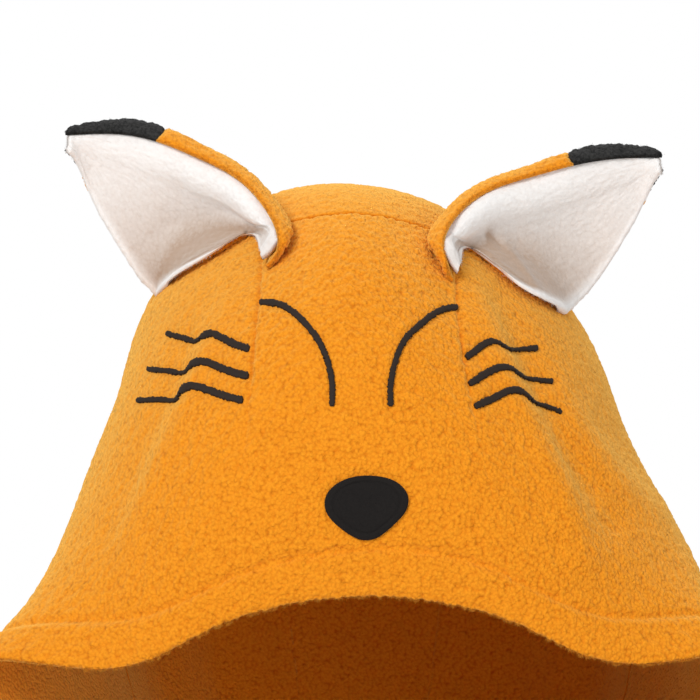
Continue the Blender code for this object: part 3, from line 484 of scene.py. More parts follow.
seeds = {"hood": 3.0, "lining": 5.0, "ear": 6.0, "body": 9.0}   # of the clumps


# the neck seam: a spline through its places, mirrored and run on past both ends
def neckRing(place):
    knots = np.array([row[0] for row in neckPlaces])
    points = np.array([row[1] for row in neckPlaces], float)
    flipped = points * (-1, 1, 1)
    knots = np.concatenate([-knots[:0:-1], knots, 2 - knots[-2::-1]])
    points = np.concatenate([flipped[:0:-1], points, flipped[-2::-1]])
    return splineAt(knots, points, place)


# the hood's lower edge: point = neck seam + (0, 0, overNeck)
def hoodFoot(place):
    return neckRing(place) + (0, 0, hoodCut["overNeck"])


# the net of both halves; the left half of each section is mirrored, then drifted, leaned and tilted
def hoodNet():
    out = np.array(hoodCut["across"][:-1])
    outside = limit((out - hoodCut["strip"]) / (1 - hoodCut["strip"]))
    halves = {1: [], -1: []}
    for _, *points, foot, drift, lean, tilt in hoodCut["sections"]:
        for side, half in halves.items():
            bent = np.array(points, float) * (side, 1, 1)
            bent[:, 2] += tilt * bent[:, 0]
            bent[:, 0] += drift * (1 - out) + lean * outside
            half.append(np.vstack([bent, hoodFoot(foot) * (side, 1, 1)]))
    nape = hoodFoot(np.array(hoodCut["nape"]))
    left = np.array(halves[1] + [nape])
    right = np.array(halves[-1] + [nape * (-1, 1, 1)])
    along = [row[0] for row in hoodCut["sections"]] + [1.0]
    across = np.array(hoodCut["across"])
    net = np.concatenate([right[:, :0:-1], left], axis=1)
    return np.array(along), np.concatenate([-across[:0:-1], across]), net


hoodPoints = hoodNet()
hoodFeet = [row[6] for row in hoodCut["sections"]] + [hoodCut["nape"][-1]]


# the hood without folds: a from -1 at the right foot to 1 at the left foot, b from 0 at the front to 1 at the nape.
# point = net + reach^2 * (foot on the neck ring - net's foot)
def hoodBase(a, b):
    a, b = pairOf(a, b)
    side = np.where(a < 0, -1.0, 1.0)
    foot = hoodFoot(np.interp(b, hoodPoints[0], hoodFeet))
    foot[..., 0] *= side
    reach = limit((np.abs(a) - 1 + hoodCut["footReach"]) / hoodCut["footReach"])[..., None] ** 2
    return netAt(*hoodPoints, a, b) + reach * (foot - netAt(*hoodPoints, side, b))


# each fold lifts the cloth by height * exp(-(distance / half width)^2), and dies out towards its ends
def foldRise(points, a, b):
    end, width = hoodCut["sideFade"]
    fade = limit((hoodCut["crownSeam"] - b) / hoodCut["crownFade"]) * limit((end - np.abs(a)) / width)
    rise = np.zeros(a.shape)
    for height, halfWidth, path in hoodCut["folds"]:
        distance, place = distanceToPath(points[..., 0], points[..., 2], path)
        rise += height * bell(distance, halfWidth) * swell(place, hoodCut["foldEnds"])
    return (rise * fade)[..., None]


# the hood with its folds: point = base + normal * rise
def hoodSurface(a, b):
    a, b = pairOf(a, b)
    points = hoodBase(a, b)
    return points + normalsOf(hoodBase, a, b) * foldRise(points, a, b)


# what is sewn on the face, as seen from the front: middle line (x, z, share of the width) of each row of stitch
stitches = {
    "width": 3.0, "rise": 0.5, "thread": 0.5, "sunk": 0.9, "uneven": 0.16,
    "press": 2.6,          # half width of the pile pressed down round a line
    "start": 0.1,          # height over the cloth
    "ripple": 0.16,        # height of one thread's round
    "taper": 0.9,          # length of a line's ends, with their least width and height
    "endWidth": 0.55, "endRise": 0.35,
    "roundness": 0.95, "perThread": 4, "columns": 8,
    "eye_right": [(-44.5, 239.4, 0.75), (-36, 238.5, 0.85), (-27, 232.5, 0.85), (-20, 224, 0.8),
                  (-15.5, 214, 0.8), (-14, 205, 0.8), (-14, 196.5, 0.75)],
    "eye_left": [(38.6, 237.4, 0.75), (31, 236, 0.85), (23, 230.5, 0.85), (16, 224, 0.8), (12, 215, 0.8),
                 (10, 206, 0.8), (10, 196.5, 0.75)],
    "whisker_right_1": [(-48.3, 219.9, 1), (-57, 222.8, 1), (-67.2, 225.9, 0.9), (-69.6, 224.2, 0.35),
                        (-71.5, 223.3, 0.45), (-75, 223.8, 0.75), (-85, 226.5, 0.75)],
    "whisker_right_2": [(-48.6, 208.6, 1), (-60, 211.8, 1), (-71.8, 213.9, 0.95), (-74.3, 211.5, 0.3),
                        (-76.4, 209.9, 0.35), (-80, 210, 0.7), (-93, 211.2, 0.65)],
    "whisker_right_3": [(-50.7, 198.6, 1), (-63, 201.8, 1), (-75.8, 203.3, 0.95), (-77.7, 200.8, 0.3),
                        (-79.3, 198.7, 0.35), (-83, 198.3, 0.7), (-97.2, 197.9, 0.65)],
    "whisker_left_1": [(41.6, 216.3, 0.9), (47, 220.1, 1), (52.5, 223, 0.8), (55.8, 222.2, 0.35),
                       (58.7, 220.3, 0.3), (64, 219.6, 0.5), (73, 220.1, 0.85)],
    "whisker_left_2": [(42.6, 205.3, 0.9), (50, 209.6, 1), (58.3, 212.2, 0.8), (61.5, 211, 0.35),
                       (66, 207.9, 0.3), (71, 206.8, 0.55), (79, 206, 0.65)],
    "whisker_left_3": [(44.6, 196.1, 0.9), (54, 200, 1), (63, 202.6, 0.85), (66.2, 200.9, 0.35),
                       (70.4, 197.2, 0.3), (75, 195.8, 0.55), (82.3, 193, 0.5)],
}
stitchNames = [name for name in stitches if name.startswith(("eye", "whisker"))]
noseCut = {
    "outline": [(168.0, -4, 5), (166.6, -9, 10.5), (163.5, -14, 15), (159, -16.8, 17.2), (154, -16.6, 16.2),
                (149, -13, 12), (145, -8, 7.5), (142.4, -3, 3)],   # height z, left edge x, right edge x
    "rise": 1.2, "start": 0.25, "thread": 0.5, "sunk": 1.0,
    "border": 0.80, "borderEdge": 0.03,      # the stitched border's inner edge, as a share of the way out
    "borderRise": 0.22, "ripple": 0.10,
    "groove": (0.35, 0.035),                 # depth and half width of the line inside the border
    "centre": (0.2, 156.5), "steps": 80,
    "press": 2.2, "core": (15, 157, 9),      # where the pile under it is pressed flat
    # tone of the felt, and how much lighter the border's threads are on their rounds: a painted highlight
    "tones": (0.5, 0.4),
}


# the hood's points and normals on a grid, and how far what is sewn on presses its pile: exp(-(distance / press)^4)
def hoodGrid(a, b):
    points = hoodBase(a, b)
    points = points + gridNormals(points) * foldRise(points, a, b)
    x, z = points[..., 0], points[..., 2]
    pressed = np.zeros(a.shape)
    for name in stitchNames:
        distance, _ = distanceToPath(x, z, [row[:2] for row in stitches[name]])
        pressed = np.maximum(pressed, np.exp(-(distance / stitches["press"]) ** 4))
    left, right = ([(row[i], row[0]) for row in noseCut["outline"]] for i in (1, 2))
    distance, _ = distanceToPath(x, z, left + right[::-1] + left[:1])
    width, middle, height = noseCut["core"]
    inNose = np.hypot(x / width, (z - middle) / height) < 1
    pressed = np.maximum(pressed, np.where(inNose, 1, np.exp(-(distance / noseCut["press"]) ** 4)))
    return points, gridNormals(points), np.where(points[..., 1] < 0, pressed, 0)


# a hood panel: clumps over the hood's surface, and at each sewn edge
# lift = -dip * exp(-(d / width)^2) + pucker * ripple * exp(-d / reach), d being the distance from the seam
def hoodPiece(name, aRange, bRange, columns, rows, seams, hem=False):
    cut = hoodCut
    more = cut["runOn"] * np.array([-seams[0], seams[1]])
    a, b = gridOf(np.array(aRange) + more, bRange, columns, rows)
    points, out, pressed = hoodGrid(a, b)
    pile = clumps(points, cut["clump"], seeds["hood"])
    edges = edgeDistances(points)
    flattened, depth, shade = cut["pressed"]
    lift = (pile - cut["pileMean"]) * cut["pile"] * (1 - flattened * pressed) - pressed * depth
    # tone: darker in the clumps' pits and where the pile is pressed, both painted shade
    tone = limit(pile - shade * pressed)
    fadeStart, fadeEnd, least = cut["stripEnds"]
    strong = least + (1 - least) * limit((b - fadeStart) / (fadeEnd - fadeStart))
    for number, (distance, sewn) in enumerate(zip(edges, seams)):
        if not sewn:
            continue
        if number < 2:
            lift -= cut["tuckDrop"] * limit(1 - distance / cut["tuck"])
            distance, along, share = np.abs(distance - cut["tuck"]), edges[2], strong
        else:
            along, share = edges[0], cut["crownShare"]
        seam = share * bell(distance, cut["seamWidth"])
        lift -= cut["seamDip"] * seam
        # painted shade along the seam
        tone -= cut["seamShade"] * seam
        ripple = np.sin(along * 2 * np.pi / cut["puckerStep"] + 2 * np.sin(along / cut["puckerWander"]))
        lift += share * cut["pucker"] * ripple * np.exp(-distance / cut["puckerReach"])
    if hem:
        (atLine, atEdge), (wander, pace) = cut["hemSlopes"], cut["hemWander"]
        line = edges[2] + wander * np.sin(edges[0] / pace)
        lift += cut["hemRise"] * limit((cut["hem"] - line) / atLine) * limit(edges[2] / atEdge)
        lift -= cut["hemDip"] * bell(line - cut["hem"], cut["hemWidth"])
    half = cut["cloth"] / 2
    outer = points + out * (half + lift)[..., None]
    inner = (points - out * (half + cut["inside"] * pile)[..., None])[::2, ::2]
    if hem:
        ragged = unit(points[0] - points[2]) * ((pile[0] - cut["raggedFrom"]) * cut["ragged"])[:, None]
        outer += ragged * np.exp(-edges[2] / cut["raggedReach"])[..., None]
    return shell(name, outer, inner, fleece, tone=tone), outer


strip, crownSeam = hoodCut["strip"], hoodCut["crownSeam"]
hoodPanels = {
    # node: a range, b range, columns, rows, seams (first column, last column, first row, last row), flat size, area
    "hood_face": ((-strip, strip), (0, crownSeam), 112, 190, (1, 1, 0, 1), (0.125, 0.195), 0.0201),
    "hood_crown": ((-strip, strip), (crownSeam, 1), 60, 170, (1, 1, 1, 0), (0.100, 0.385), 0.0346),
    "hood_cheek_left": ((strip, 1), (0, crownSeam), 210, 164, (1, 0, 0, 1), (0.300, 0.225), 0.0463),
    "hood_cheek_right": ((-1, -strip), (0, crownSeam), 210, 164, (0, 1, 0, 1), (0.300, 0.225), 0.0455),
    "hood_side_left": ((strip, 1), (crownSeam, 1), 110, 104, (1, 0, 1, 0), (0.285, 0.225), 0.0368),
    "hood_side_right": ((-1, -strip), (crownSeam, 1), 110, 104, (0, 1, 1, 0), (0.285, 0.225), 0.0359),
}
hoodOuter = {}
for name, (aRange, bRange, columns, rows, seams, flat, area) in hoodPanels.items():
    made, hoodOuter[name] = hoodPiece(name + "_cloth", aRange, bRange, columns, rows, seams, hem=bRange[0] == 0)
    cloth(made, name, "orange_fleece", flat, area)
print("hood made")

earCut = {
    "across": (0.0, 0.22, 0.46, 0.70, 0.92, 1.0),
    "columns": (0, 0.11, 0.22, 0.34, 0.46, 0.58, 0.70, 0.80, 0.87, 0.92, 0.96, 1),
    "rows": (-0.04, 0, 0.13, 0.26, 0.38, 0.50, 0.62, 0.72, 0.815, 0.90, 0.96, 1),
    "lifts": (1.5, 6.0),      # least height of the first two rows' middle over the hood
    "clearance": 0.5, "gap": 0.5, "cloth": 2.4, "lining": 2.0,
    "inset": (0.035, 0.055),  # the outer edge is set in, and the crest reaches on from a place
    "reach": 0.02, "reachFrom": 0.6,
    "tipSeam": 0.815,         # place along of the seam between back and tip
    "pile": 1.2, "clump": 2.6,
    "seamDip": (0.8, 1.5), "rimDip": (0.6, 1.2),   # depth and half width
    "liningEdge": 0.93,       # the lining starts at this place across, under the lip
    "liningEnd": 0.994, "baseStart": 0.03,
    "fine": 80, "steps": 96,  # points of its edges and of its spans, and how these crowd to the rim
    "crowding": 1.5,
    "evened": 40,             # how often its facing is evened out
    "widest": 0.95,           # of a span, for the roll beside the lip
    "softness": 0.5,
    "headroom": 0.6, "lipRoom": 1.0,               # over the hood and under the lip
    "plushPile": 0.45, "plushClump": 3.2,
    "rollSteps": 8, "rollTurn": 2.6, "baseTurn": 1.1, "baseEnd": (0.50, 0.56),   # it rolls round the edges
    "rollGrowth": 1.9, "rollWall": 0.9,
    "tipThin": 0.9, "tipFade": 0.09, "tipRows": (0.95, 1.0),
    # shares of the length of the rim, and of the far edge that they are matched with
    "matches": ((0, 0.12, 0.27, 0.40, 0.52, 0.70, 0.835, 0.945, 1),
                (0, 0.10, 0.26, 0.39, 0.47, 0.63, 0.78, 0.92, 1)),
    "plushTone": (0.88, 0.1), "shade": 1.15,       # its tone, and the painted shade in the hollow
    "wedgeShade": 0.3, "wedgeEnd": 0.2,            # its tone at the hollow's inner end
    "hollowShading": (0.7, 0.84),         # pace and end of the painted shade, down the hollow
    "foldShade": (0.1, 0.75, 0.3),  # start, end and fade of a fold's shade
    "fibreLine": 0.86, "fibreRow": -4,             # the column of the back and the row of the lining with fibres
    "liningRows": [
        # place, width and height of the roll beside the lip, depth of the hollow, share it takes to sink, painted
        # shade
        (0.00, 7, 1.0, 0, 0.20, 0.0), (0.10, 9, 3.0, 1, 0.06, 0.3), (0.16, 10, 4.0, 5, 0.06, 0.8),
        (0.27, 12, 4.5, 11, 0.10, 1.0), (0.40, 14.5, 4.6, 13, 0.16, 1.1), (0.55, 17, 4.0, 12, 0.24, 1.0),
        (0.75, 19, 2.4, 6, 0.40, 0.50), (0.90, 14, 1.0, 1.5, 0.40, 0.15), (1.00, 5, 0.5, 0, 0.30, 0.0),
    ],
    # at, outer edge, hollow, hollow, wall, crest, lip
    "right": [
        (0.00, (-95, -25, 246.5), (-80, -43, 253.5), (-62, -55.5, 263), (-46.5, -62.5, 270),
         (-40.5, -88, 259), (-42.5, -92, 255.5)),
        (0.15, (-102, -30, 253), (-87, -37, 261.5), (-68, -48, 269), (-49, -62, 274), (-33.3, -88, 264),
         (-38, -94, 262)),
        (0.30, (-108, -34, 262), (-94, -32, 271), (-74, -38, 279), (-54, -55, 282), (-34.5, -81, 273),
         (-39, -88, 272)),
        (0.50, (-117, -40, 275), (-104, -26, 284), (-86, -26, 292), (-67, -38, 296), (-49, -62, 292.5),
         (-52, -69, 290.5)),
        (0.72, (-124, -44, 289), (-114, -26, 297), (-101, -22, 304), (-88, -30, 308), (-72.5, -50, 307),
         (-76, -56, 304.5)),
        (0.90, (-128, -47, 303), (-124, -38, 307), (-118, -33, 312), (-112, -34, 315), (-104, -44, 318),
         (-106, -48, 314)),
        (1.00, (-130, -49, 307), (-129, -46, 309), (-128, -44, 311), (-127, -43, 313), (-126, -44, 316),
         (-127, -47, 314)),
    ],
    "left": [
        (0.00, (87, -43, 236), (73.5, -59.5, 243.5), (57, -65, 254), (41, -66.5, 264),
         (35.5, -90, 251.5), (37, -95, 249)),
        (0.15, (95, -36, 241.5), (80, -46, 250), (63, -55, 260), (45, -64, 268), (29, -88, 258),
         (34, -94, 255)),
        (0.30, (104, -33, 251), (90, -32, 259), (70, -38, 270), (50, -55, 275), (29.5, -81, 268.5),
         (34, -88, 267.5)),
        (0.50, (114, -39, 265), (102, -26, 274), (85, -26, 284), (65, -38, 289), (45, -62, 286.5),
         (48, -69, 285)),
        (0.72, (122, -43, 279), (113, -26, 287), (100, -23, 295), (86, -31, 299), (71.5, -50, 297.5),
         (74, -56, 295.5)),
        (0.90, (127, -46, 292), (123, -37, 297), (118, -33, 301), (112, -35, 304), (105, -45, 307),
         (106, -49, 303)),
        (1.00, (129, -48, 298), (128, -46, 300), (127, -44, 302), (126, -43, 304), (125, -43, 306),
         (126, -46, 304)),
    ],
    # soft folds of the lining: height, place, half width, painted shade
    "folds": {
        "right": [(1.6, 0.30, 0.05, 0.0)],
        "left": [(-1.0, 0.385, 0.014, 0.55), (2.6, 0.43, 0.035, 0.0), (1.2, 0.33, 0.03, 0.0)],
    },
}


def treeOf(points):
    faces = gridFaces(np.arange(points[..., 0].size).reshape(points.shape[:2]))
    return BVHTree.FromPolygons(points.reshape(-1, 3).tolist(), faces.tolist())


def hoodTree():
    a, b = gridOf((-1, 1), (0, 1), 120, 90)
    return treeOf(hoodSurface(a, b) + normalsOf(hoodSurface, a, np.clip(b, 0.002, 0.998)) * hoodCut["cloth"] / 2)


# an ear's sheet: the net is seated on the hood, then its points are moved out until the cloth clears the hood
def earSheet(side, tree):
    rows = earCut[side]
    along, across = np.array([row[0] for row in rows]), np.array(earCut["across"])
    net = np.array([row[1:] for row in rows], float)
    for i, lift in enumerate(earCut["lifts"]):
        for j, point in enumerate(net[i]):
            spot, normal, _, _ = tree.find_nearest(Vector(point))
            if i == 0 or (point - np.array(spot)) @ np.array(normal) < lift:
                net[i, j] = np.array(spot) + np.array(normal) * lift
    a, b = np.meshgrid(earCut["columns"], earCut["rows"])
    sheet = netAt(along, across, net, a, b)
    normals = gridNormals(sheet)
    for i, j in np.ndindex(a.shape):
        spot, up, _, _ = tree.find_nearest(Vector(sheet[i, j]))
        spot, up = np.array(spot), np.array(up)
        least = earCut["clearance"] + (earCut["gap"] / 2 + earCut["cloth"]) * abs(normals[i, j] @ up)
        if i < 2 or (sheet[i, j] - spot) @ up < least:
            sheet[i, j] = spot + up * least
    return lambda a, b: netAt(np.array(earCut["rows"]), np.array(earCut["columns"]), sheet, a, b)


# the sheet's points. Its outer edge is set in, and its end reaches on at the crest, so that the rolled lining ends
# at the ear's outline.
def earPoints(surface, a, b):
    a, b = pairOf(a, b)
    inset, start = earCut["inset"][0] + earCut["inset"][1] * limit(b), earCut["reachFrom"]
    return surface(a + inset * (1 - a), b + earCut["reach"] * a * limit((b - start) / (1 - start)) ** 2)


# back and tip of one ear, moved off the sheet along its normals, away from the hollow; each seam and rim sinks by
# depth * exp(-(distance / half width)^2)
def earBack(side, surface, bRange, columns, rows, seamRow):
    points = earPoints(surface, *gridOf((0, 1), bRange, columns, rows))
    inward = gridNormals(points) * (-1 if side == "left" else 1)
    edges = edgeDistances(points)
    # the clumps' height is also their tone, darker in the pits: a painted shade
    pile = clumps(points, earCut["clump"], seeds["ear"])
    rim = np.minimum.reduce([edges[0], edges[1], edges[3]])
    lift = (pile - 0.5) * earCut["pile"]
    for distance, (depth, halfWidth) in ((edges[seamRow], earCut["seamDip"]), (rim, earCut["rimDip"])):
        lift = lift - depth * bell(distance, halfWidth)
    near = points - inward * earCut["gap"] / 2
    outer = near - inward * (earCut["cloth"] + lift)[..., None]
    return outer, near, pile


# points on a path at shares of its length
def alongPath(points, places):
    lengths = lengthsTo(points)
    return np.stack([np.interp(places * lengths[-1], lengths, points[:, i]) for i in range(3)], axis=-1)


# the range of heights over the core at which the lining is clear of the back and the hood, and of the lip
def clearRange(surface, core, front):
    far, edge, fine = 40.0, earCut["liningEdge"], earCut["fine"]
    lining, headroom = earCut["gap"] / 2 + earCut["lining"], earCut["headroom"]
    back, lip = (treeOf(earPoints(surface, *gridOf(ends, (0, 1), fine, fine))) for ends in ((0, edge), (edge, 1)))
    least, most = np.full(core.shape[:2], -50.0), np.full(core.shape[:2], 50.0)
    for i, j in np.ndindex(least.shape):
        start, down = Vector(core[i, j] + front[i] * far), Vector(-front[i])
        toBack, toHood = back.ray_cast(start, down)[3], tree.ray_cast(start, down)[3]
        if toBack is not None:
            least[i, j] = far - toBack
        if toHood is not None:
            least[i, j] = max(least[i, j], far - toHood - lining + headroom)
        toLip = lip.ray_cast(Vector(core[i, j] - front[i]), Vector(front[i]))[3]
        if toLip is not None:
            most[i, j] = max(toLip - earCut["lipRoom"] - earCut["gap"] - lining, 0)
    return least, most


# The lining's spans start on the rim, under the lip, and end on a far edge, the ear's base and then its outer edge.
# They face front, across the hollow.
def liningSpans(surface, s):
    low, edge, fine = earCut["rows"][0], earCut["liningEdge"], earCut["fine"]
    places = np.linspace(low, earCut["liningEnd"], 2 * fine + 1)
    rim = alongPath(earPoints(surface, edge, places), s)
    base = earPoints(surface, np.linspace(edge - earCut["baseStart"], 0, fine + 1), low)
    outer = earPoints(surface, 0, places)
    far = alongPath(np.concatenate([base[:-1], outer]), np.interp(s, *earCut["matches"]))
    across = far - rim
    front = np.cross(np.gradient((rim + far) / 2, axis=0), across)
    front *= -np.sign(front[:, 1:2])
    for _ in range(earCut["evened"]):
        front[1:-1] = (front[:-2] + 2 * front[1:-1] + front[2:]) / 4
    return rim, across, unit(front)


# At the distance d from the rim the lining stands off its span by height * sin(pi d / width)^0.8, then sinks by
# depth * (1 - exp(-v / share)) * (1 - v), v from 0 to 1 being the rest of the way. Where it sinks, it gets a
# painted shade.
def liningRise(side, s, u, length):
    table = np.array(earCut["liningRows"])
    width, height, depth, share, shadeShare = [np.interp(s, table[:, 0], column)[:, None] for column in table[:, 1:].T]
    width = np.minimum(width, earCut["widest"] * length)
    d = length * u
    v = limit((d - width) / (length - width))
    rise = height * np.sin(np.pi * limit(d / width)) ** 0.8 - depth * ((1 - np.exp(-v / share)) * (1 - v))
    pace, end = earCut["hollowShading"]
    paintedShade = (1 - np.exp(-v / share * pace)) * (1 - limit((v - end) / (1 - end)) ** 2) * shadeShare
    start, end, fade = earCut["foldShade"]
    for tall, place, halfWidth, dark in earCut["folds"][side]:
        near = bell(s[:, None] - place, halfWidth)
        rise += tall * near * np.sin(np.pi * v)
        paintedShade += dark * near * limit(v / start) * limit((end - v) / fade)
    return rise, paintedShade


# The lining stays clear of the back, the hood and the lip. Past the far edge and the tip it turns round them:
# edge + R (front cos t + away sin t).
def earLining(side, surface):
    cut, steps = earCut, earCut["rollSteps"]
    s = np.linspace(0, 1, cut["steps"] + 1)
    u = s ** cut["crowding"]
    rim, across, front = liningSpans(surface, s)
    rise, paintedShade = liningRise(side, s, u, np.linalg.norm(across, axis=1)[:, None])
    core = rim[:, None] + across[:, None] * u[:, None]
    least, most = clearRange(surface, core, front)
    soft = cut["softness"]
    rise = np.minimum(least + soft * np.logaddexp(0, (rise - least) / soft), most)
    pastEdge = unit(across - front * (across * front).sum(axis=1, keepdims=True))
    ends = earPoints(surface, np.linspace(0, cut["liningEdge"], 9), np.array(cut["tipRows"])[:, None])
    pastTip = unit((ends[1] - ends[0]).mean(axis=0))
    # the last column and row are repeated, to be turned
    core = np.pad(core, ((0, steps), (0, steps), (0, 0)), mode="edge")
    rise, paintedShade = np.pad(rise, (0, steps), mode="edge"), np.pad(paintedShade, (0, steps))
    front, pastEdge = (np.pad(v, ((0, steps), (0, 0)), mode="edge")[:, None] for v in (front, pastEdge))
    past = np.r_[np.zeros(cut["steps"] + 1), np.linspace(0, 1, steps + 1)[1:]]
    full = np.pad(np.interp(s, cut["baseEnd"], (cut["baseTurn"], cut["rollTurn"])), (0, steps), mode="edge")
    turnEdge = full[:, None] * past
    turnTip = cut["rollTurn"] * past[:, None] * np.ones_like(turnEdge)
    turn = np.minimum(np.hypot(turnEdge, turnTip), cut["rollTurn"])
    away = turnEdge[..., None] * pastEdge + turnTip[..., None] * pastTip + 1e-6 * pastEdge
    away = unit(away - front * (away * front).sum(axis=-1, keepdims=True))
    toward = front * np.cos(turn)[..., None] + away * np.sin(turn)[..., None]
    nearTip = np.pad(limit((1 - s) / cut["tipFade"]), (0, steps))[:, None]
    growth = cut["rollGrowth"] * turnEdge / cut["rollTurn"] * nearTip
    offset = cut["gap"] / 2 + cut["lining"] + growth + rise * (1 - turnTip / cut["rollTurn"])
    offset -= cut["tipThin"] * limit(1 - nearTip * 2)
    rough = core + toward * offset[..., None]
    inside = core + toward * (offset - cut["lining"] + cut["rollWall"] * turn / cut["rollTurn"])[..., None]
    pile = clumps(rough, cut["plushClump"], seeds["lining"])
    # the tone: darker in the clumps' pits, in the hollow and at its inner end, all painted shade
    wedge = np.pad(limit(1 - s / cut["wedgeEnd"]), (0, steps), mode="edge")[:, None]
    light, mottled = cut["plushTone"]
    tone = light + mottled * (pile - 0.5) - cut["shade"] * paintedShade - cut["wedgeShade"] * wedge
    return rough + toward * ((pile - 0.5) * cut["plushPile"])[..., None], inside, tone


tree = hoodTree()
seam = earCut["tipSeam"]
for side in ("left", "right"):
    surface = earSheet(side, tree)
    pieces = {
        # kind: surfaces, finish, slot, flat size, area, number and length of the fibres at its edges
        "back": (earBack(side, surface, (0, seam), 96, 84, 3), fleece, "orange_fleece",
                 (0.115, 0.080), 0.0063, (1500, 1200), (0.4, 1.0)),
        "tip": (earBack(side, surface, (seam, 1), 64, 34, 2), blackFleece, "black_fleece",
                (0.050, 0.034), 0.0013, (600, 600), (0.3, 0.8)),
        "lining": (earLining(side, surface), plush, "white_plush", (0.088, 0.095), 0.0050, (900, 600), (0.5, 1.2)),
    }
    for kind, ((outer, near, pile), finish, slotName, flat, area, counts, lengths) in pieces.items():
        name = "ear_%s_%s" % (side, kind)
        plushy = kind == "lining"
        made = shell(name + "_cloth", outer, near[::2, ::2], finish, tone=pile,
                     insideTone=tones["insidePlush" if plushy else "inside"])
        lip = np.s_[:, int(outer.shape[1] * earCut["fibreLine"])]
        lines = {"0": np.s_[:, -1], "tip": earCut["fibreRow"]} if plushy else {"0": np.s_[:, -1], "1": lip}
        fringe = []
        for (label, line), count in zip(lines.items(), counts):
            edge, root = outer[line], near[line]
            hairs = edgeFibres("%s_fibres_%s" % (name, label), (edge * 3 + root) / 4, unit(edge - root), count,
                               lengths, fuzz["radius"], finish)
            fringe.append(trim(hairs))
        cloth(made, name, slotName, flat, area, withPieces=fringe)
print("ears made")


search = {"across": (-0.62, 0.62), "along": (0, 0.5), "columns": 62, "rows": 50, "rounds": 6, "step": 0.002,
          "most": 0.03}


# the hood's (a, b) at (x, z) in the front view: the nearest point of a coarse grid, then steps of Newton's rule
def onHood(x, z):
    step, most = search["step"], search["most"]
    places = gridOf(search["across"], search["along"], search["columns"], search["rows"])
    gridA, gridB = (g.ravel() for g in places)
    grid = hoodSurface(gridA, gridB)[:, [0, 2]]
    target = np.stack([np.ravel(x), np.ravel(z)], axis=1)
    nearest = ((target[:, None] - grid[None]) ** 2).sum(axis=-1).argmin(axis=1)
    a, b = gridA[nearest], gridB[nearest]
    for _ in range(search["rounds"]):
        point = hoodSurface(a, b)[:, [0, 2]]
        stepA = (hoodSurface(a + step, b)[:, [0, 2]] - point) / step
        stepB = (hoodSurface(a, b + step)[:, [0, 2]] - point) / step
        gap = target - point
        size = stepA[:, 0] * stepB[:, 1] - stepA[:, 1] * stepB[:, 0]
        a = a + np.clip((gap[:, 0] * stepB[:, 1] - gap[:, 1] * stepB[:, 0]) / size, -most, most)
        b = b + np.clip((stepA[:, 0] * gap[:, 1] - stepA[:, 1] * gap[:, 0]) / size, -most, most)
    points, out = hoodSurface(a, b), normalsOf(hoodSurface, a, b)
    return points.reshape(np.shape(x) + (3,)), out.reshape(np.shape(x) + (3,))


# satin stitch: threads side by side across a line. Height = rise * sqrt(1 - (roundness v)^4) over the width, v from
# -1 to 1, and a small round |sin(pi s / thread)| for each thread
def satinStitch(name):
    cut, path = stitches, np.array(stitches[name], float)
    lengths = lengthsTo(path[:, :2])
    count = int(lengths[-1] / cut["thread"] * cut["perThread"]) // 2 * 2
    s, v = np.linspace(0, lengths[-1], count + 1), np.linspace(-1, 1, cut["columns"] + 1)
    line = splineAt(lengths, path[:, :2], s)
    run = unit(np.gradient(line, axis=0))
    square = np.stack([-run[:, 1], run[:, 0]], axis=1)
    index = (s / cut["thread"]).astype(int)
    uneven = dice.normal(size=(index.max() + 2, 2)) * cut["uneven"]
    ends = np.sqrt(limit(np.minimum(s, lengths[-1] - s) / cut["taper"]))
    half = cut["width"] / 2 * np.interp(s, lengths, path[:, 2]) * (cut["endWidth"] + (1 - cut["endWidth"]) * ends)
    reach = half[:, None] + np.where(v < 0, uneven[index, :1], uneven[index, 1:]) * np.abs(v)
    flat = line[:, None] + square[:, None] * (v * reach)[..., None]
    points, out = onHood(flat[..., 0], flat[..., 1])
    ripple = np.abs(np.sin(np.pi * s / cut["thread"]))[:, None]
    tall = cut["rise"] * (cut["endRise"] + (1 - cut["endRise"]) * ends)[:, None]
    rise = tall * np.sqrt(1 - (cut["roundness"] * v) ** 4) + cut["ripple"] * ripple
    base = hoodCut["cloth"] / 2
    outer = points + out * (base + cut["start"] + rise)[..., None]
    inner = (points + out * (base - cut["sunk"]))[::2, ::2]
    return shell(name + "_thread", outer, inner, thread, tone=np.broadcast_to(ripple, rise.shape))


for name in stitchNames:
    trim(satinStitch(name), name)


# the nose: a disc stretched to the outline, padded by rise * sqrt(1 - r^6), with threads at its border
def makeNose():
    cut, rows = noseCut, np.array(noseCut["outline"], float)
    outline = np.concatenate([rows[:, [2, 0]], rows[::-1, [1, 0]]])
    outline = np.concatenate([outline[-3:], outline, outline[:4]])   # runs on past its start, so that it closes
    lengths = lengthsTo(outline)
    start, end = lengths[3], lengths[-4]
    x, y = discGrid((-1, 1), (1, -1), cut["steps"])
    r, turn = np.hypot(x, y), np.mod(np.pi / 2 - np.arctan2(y, x), 2 * np.pi) / (2 * np.pi)
    edge = splineAt(lengths, outline, start + turn * (end - start))
    flat = cut["centre"] + r[..., None] * (edge - cut["centre"])
    points, out = onHood(flat[..., 0], flat[..., 1])
    border = limit((r - cut["border"]) / cut["borderEdge"])
    ripple = np.abs(np.sin(np.pi * turn * (end - start) / cut["thread"]))
    rise = cut["rise"] * np.sqrt(limit(1 - r**6)) + cut["start"]
    rise += border * (cut["borderRise"] + cut["ripple"] * ripple)
    depth, halfWidth = cut["groove"]
    rise -= depth * bell(r - cut["border"], halfWidth)
    base = hoodCut["cloth"] / 2
    outer = points + out * (base + rise)[..., None]
    inner = (points + out * (base - cut["sunk"]))[::2, ::2]
    low, more = cut["tones"]
    return shell("nose_felt", outer, inner, felt, tone=limit(low + more * border * ripple))


cloth(makeNose(), "nose", "black_felt", (0.036, 0.027), 0.00070)
print("face made")

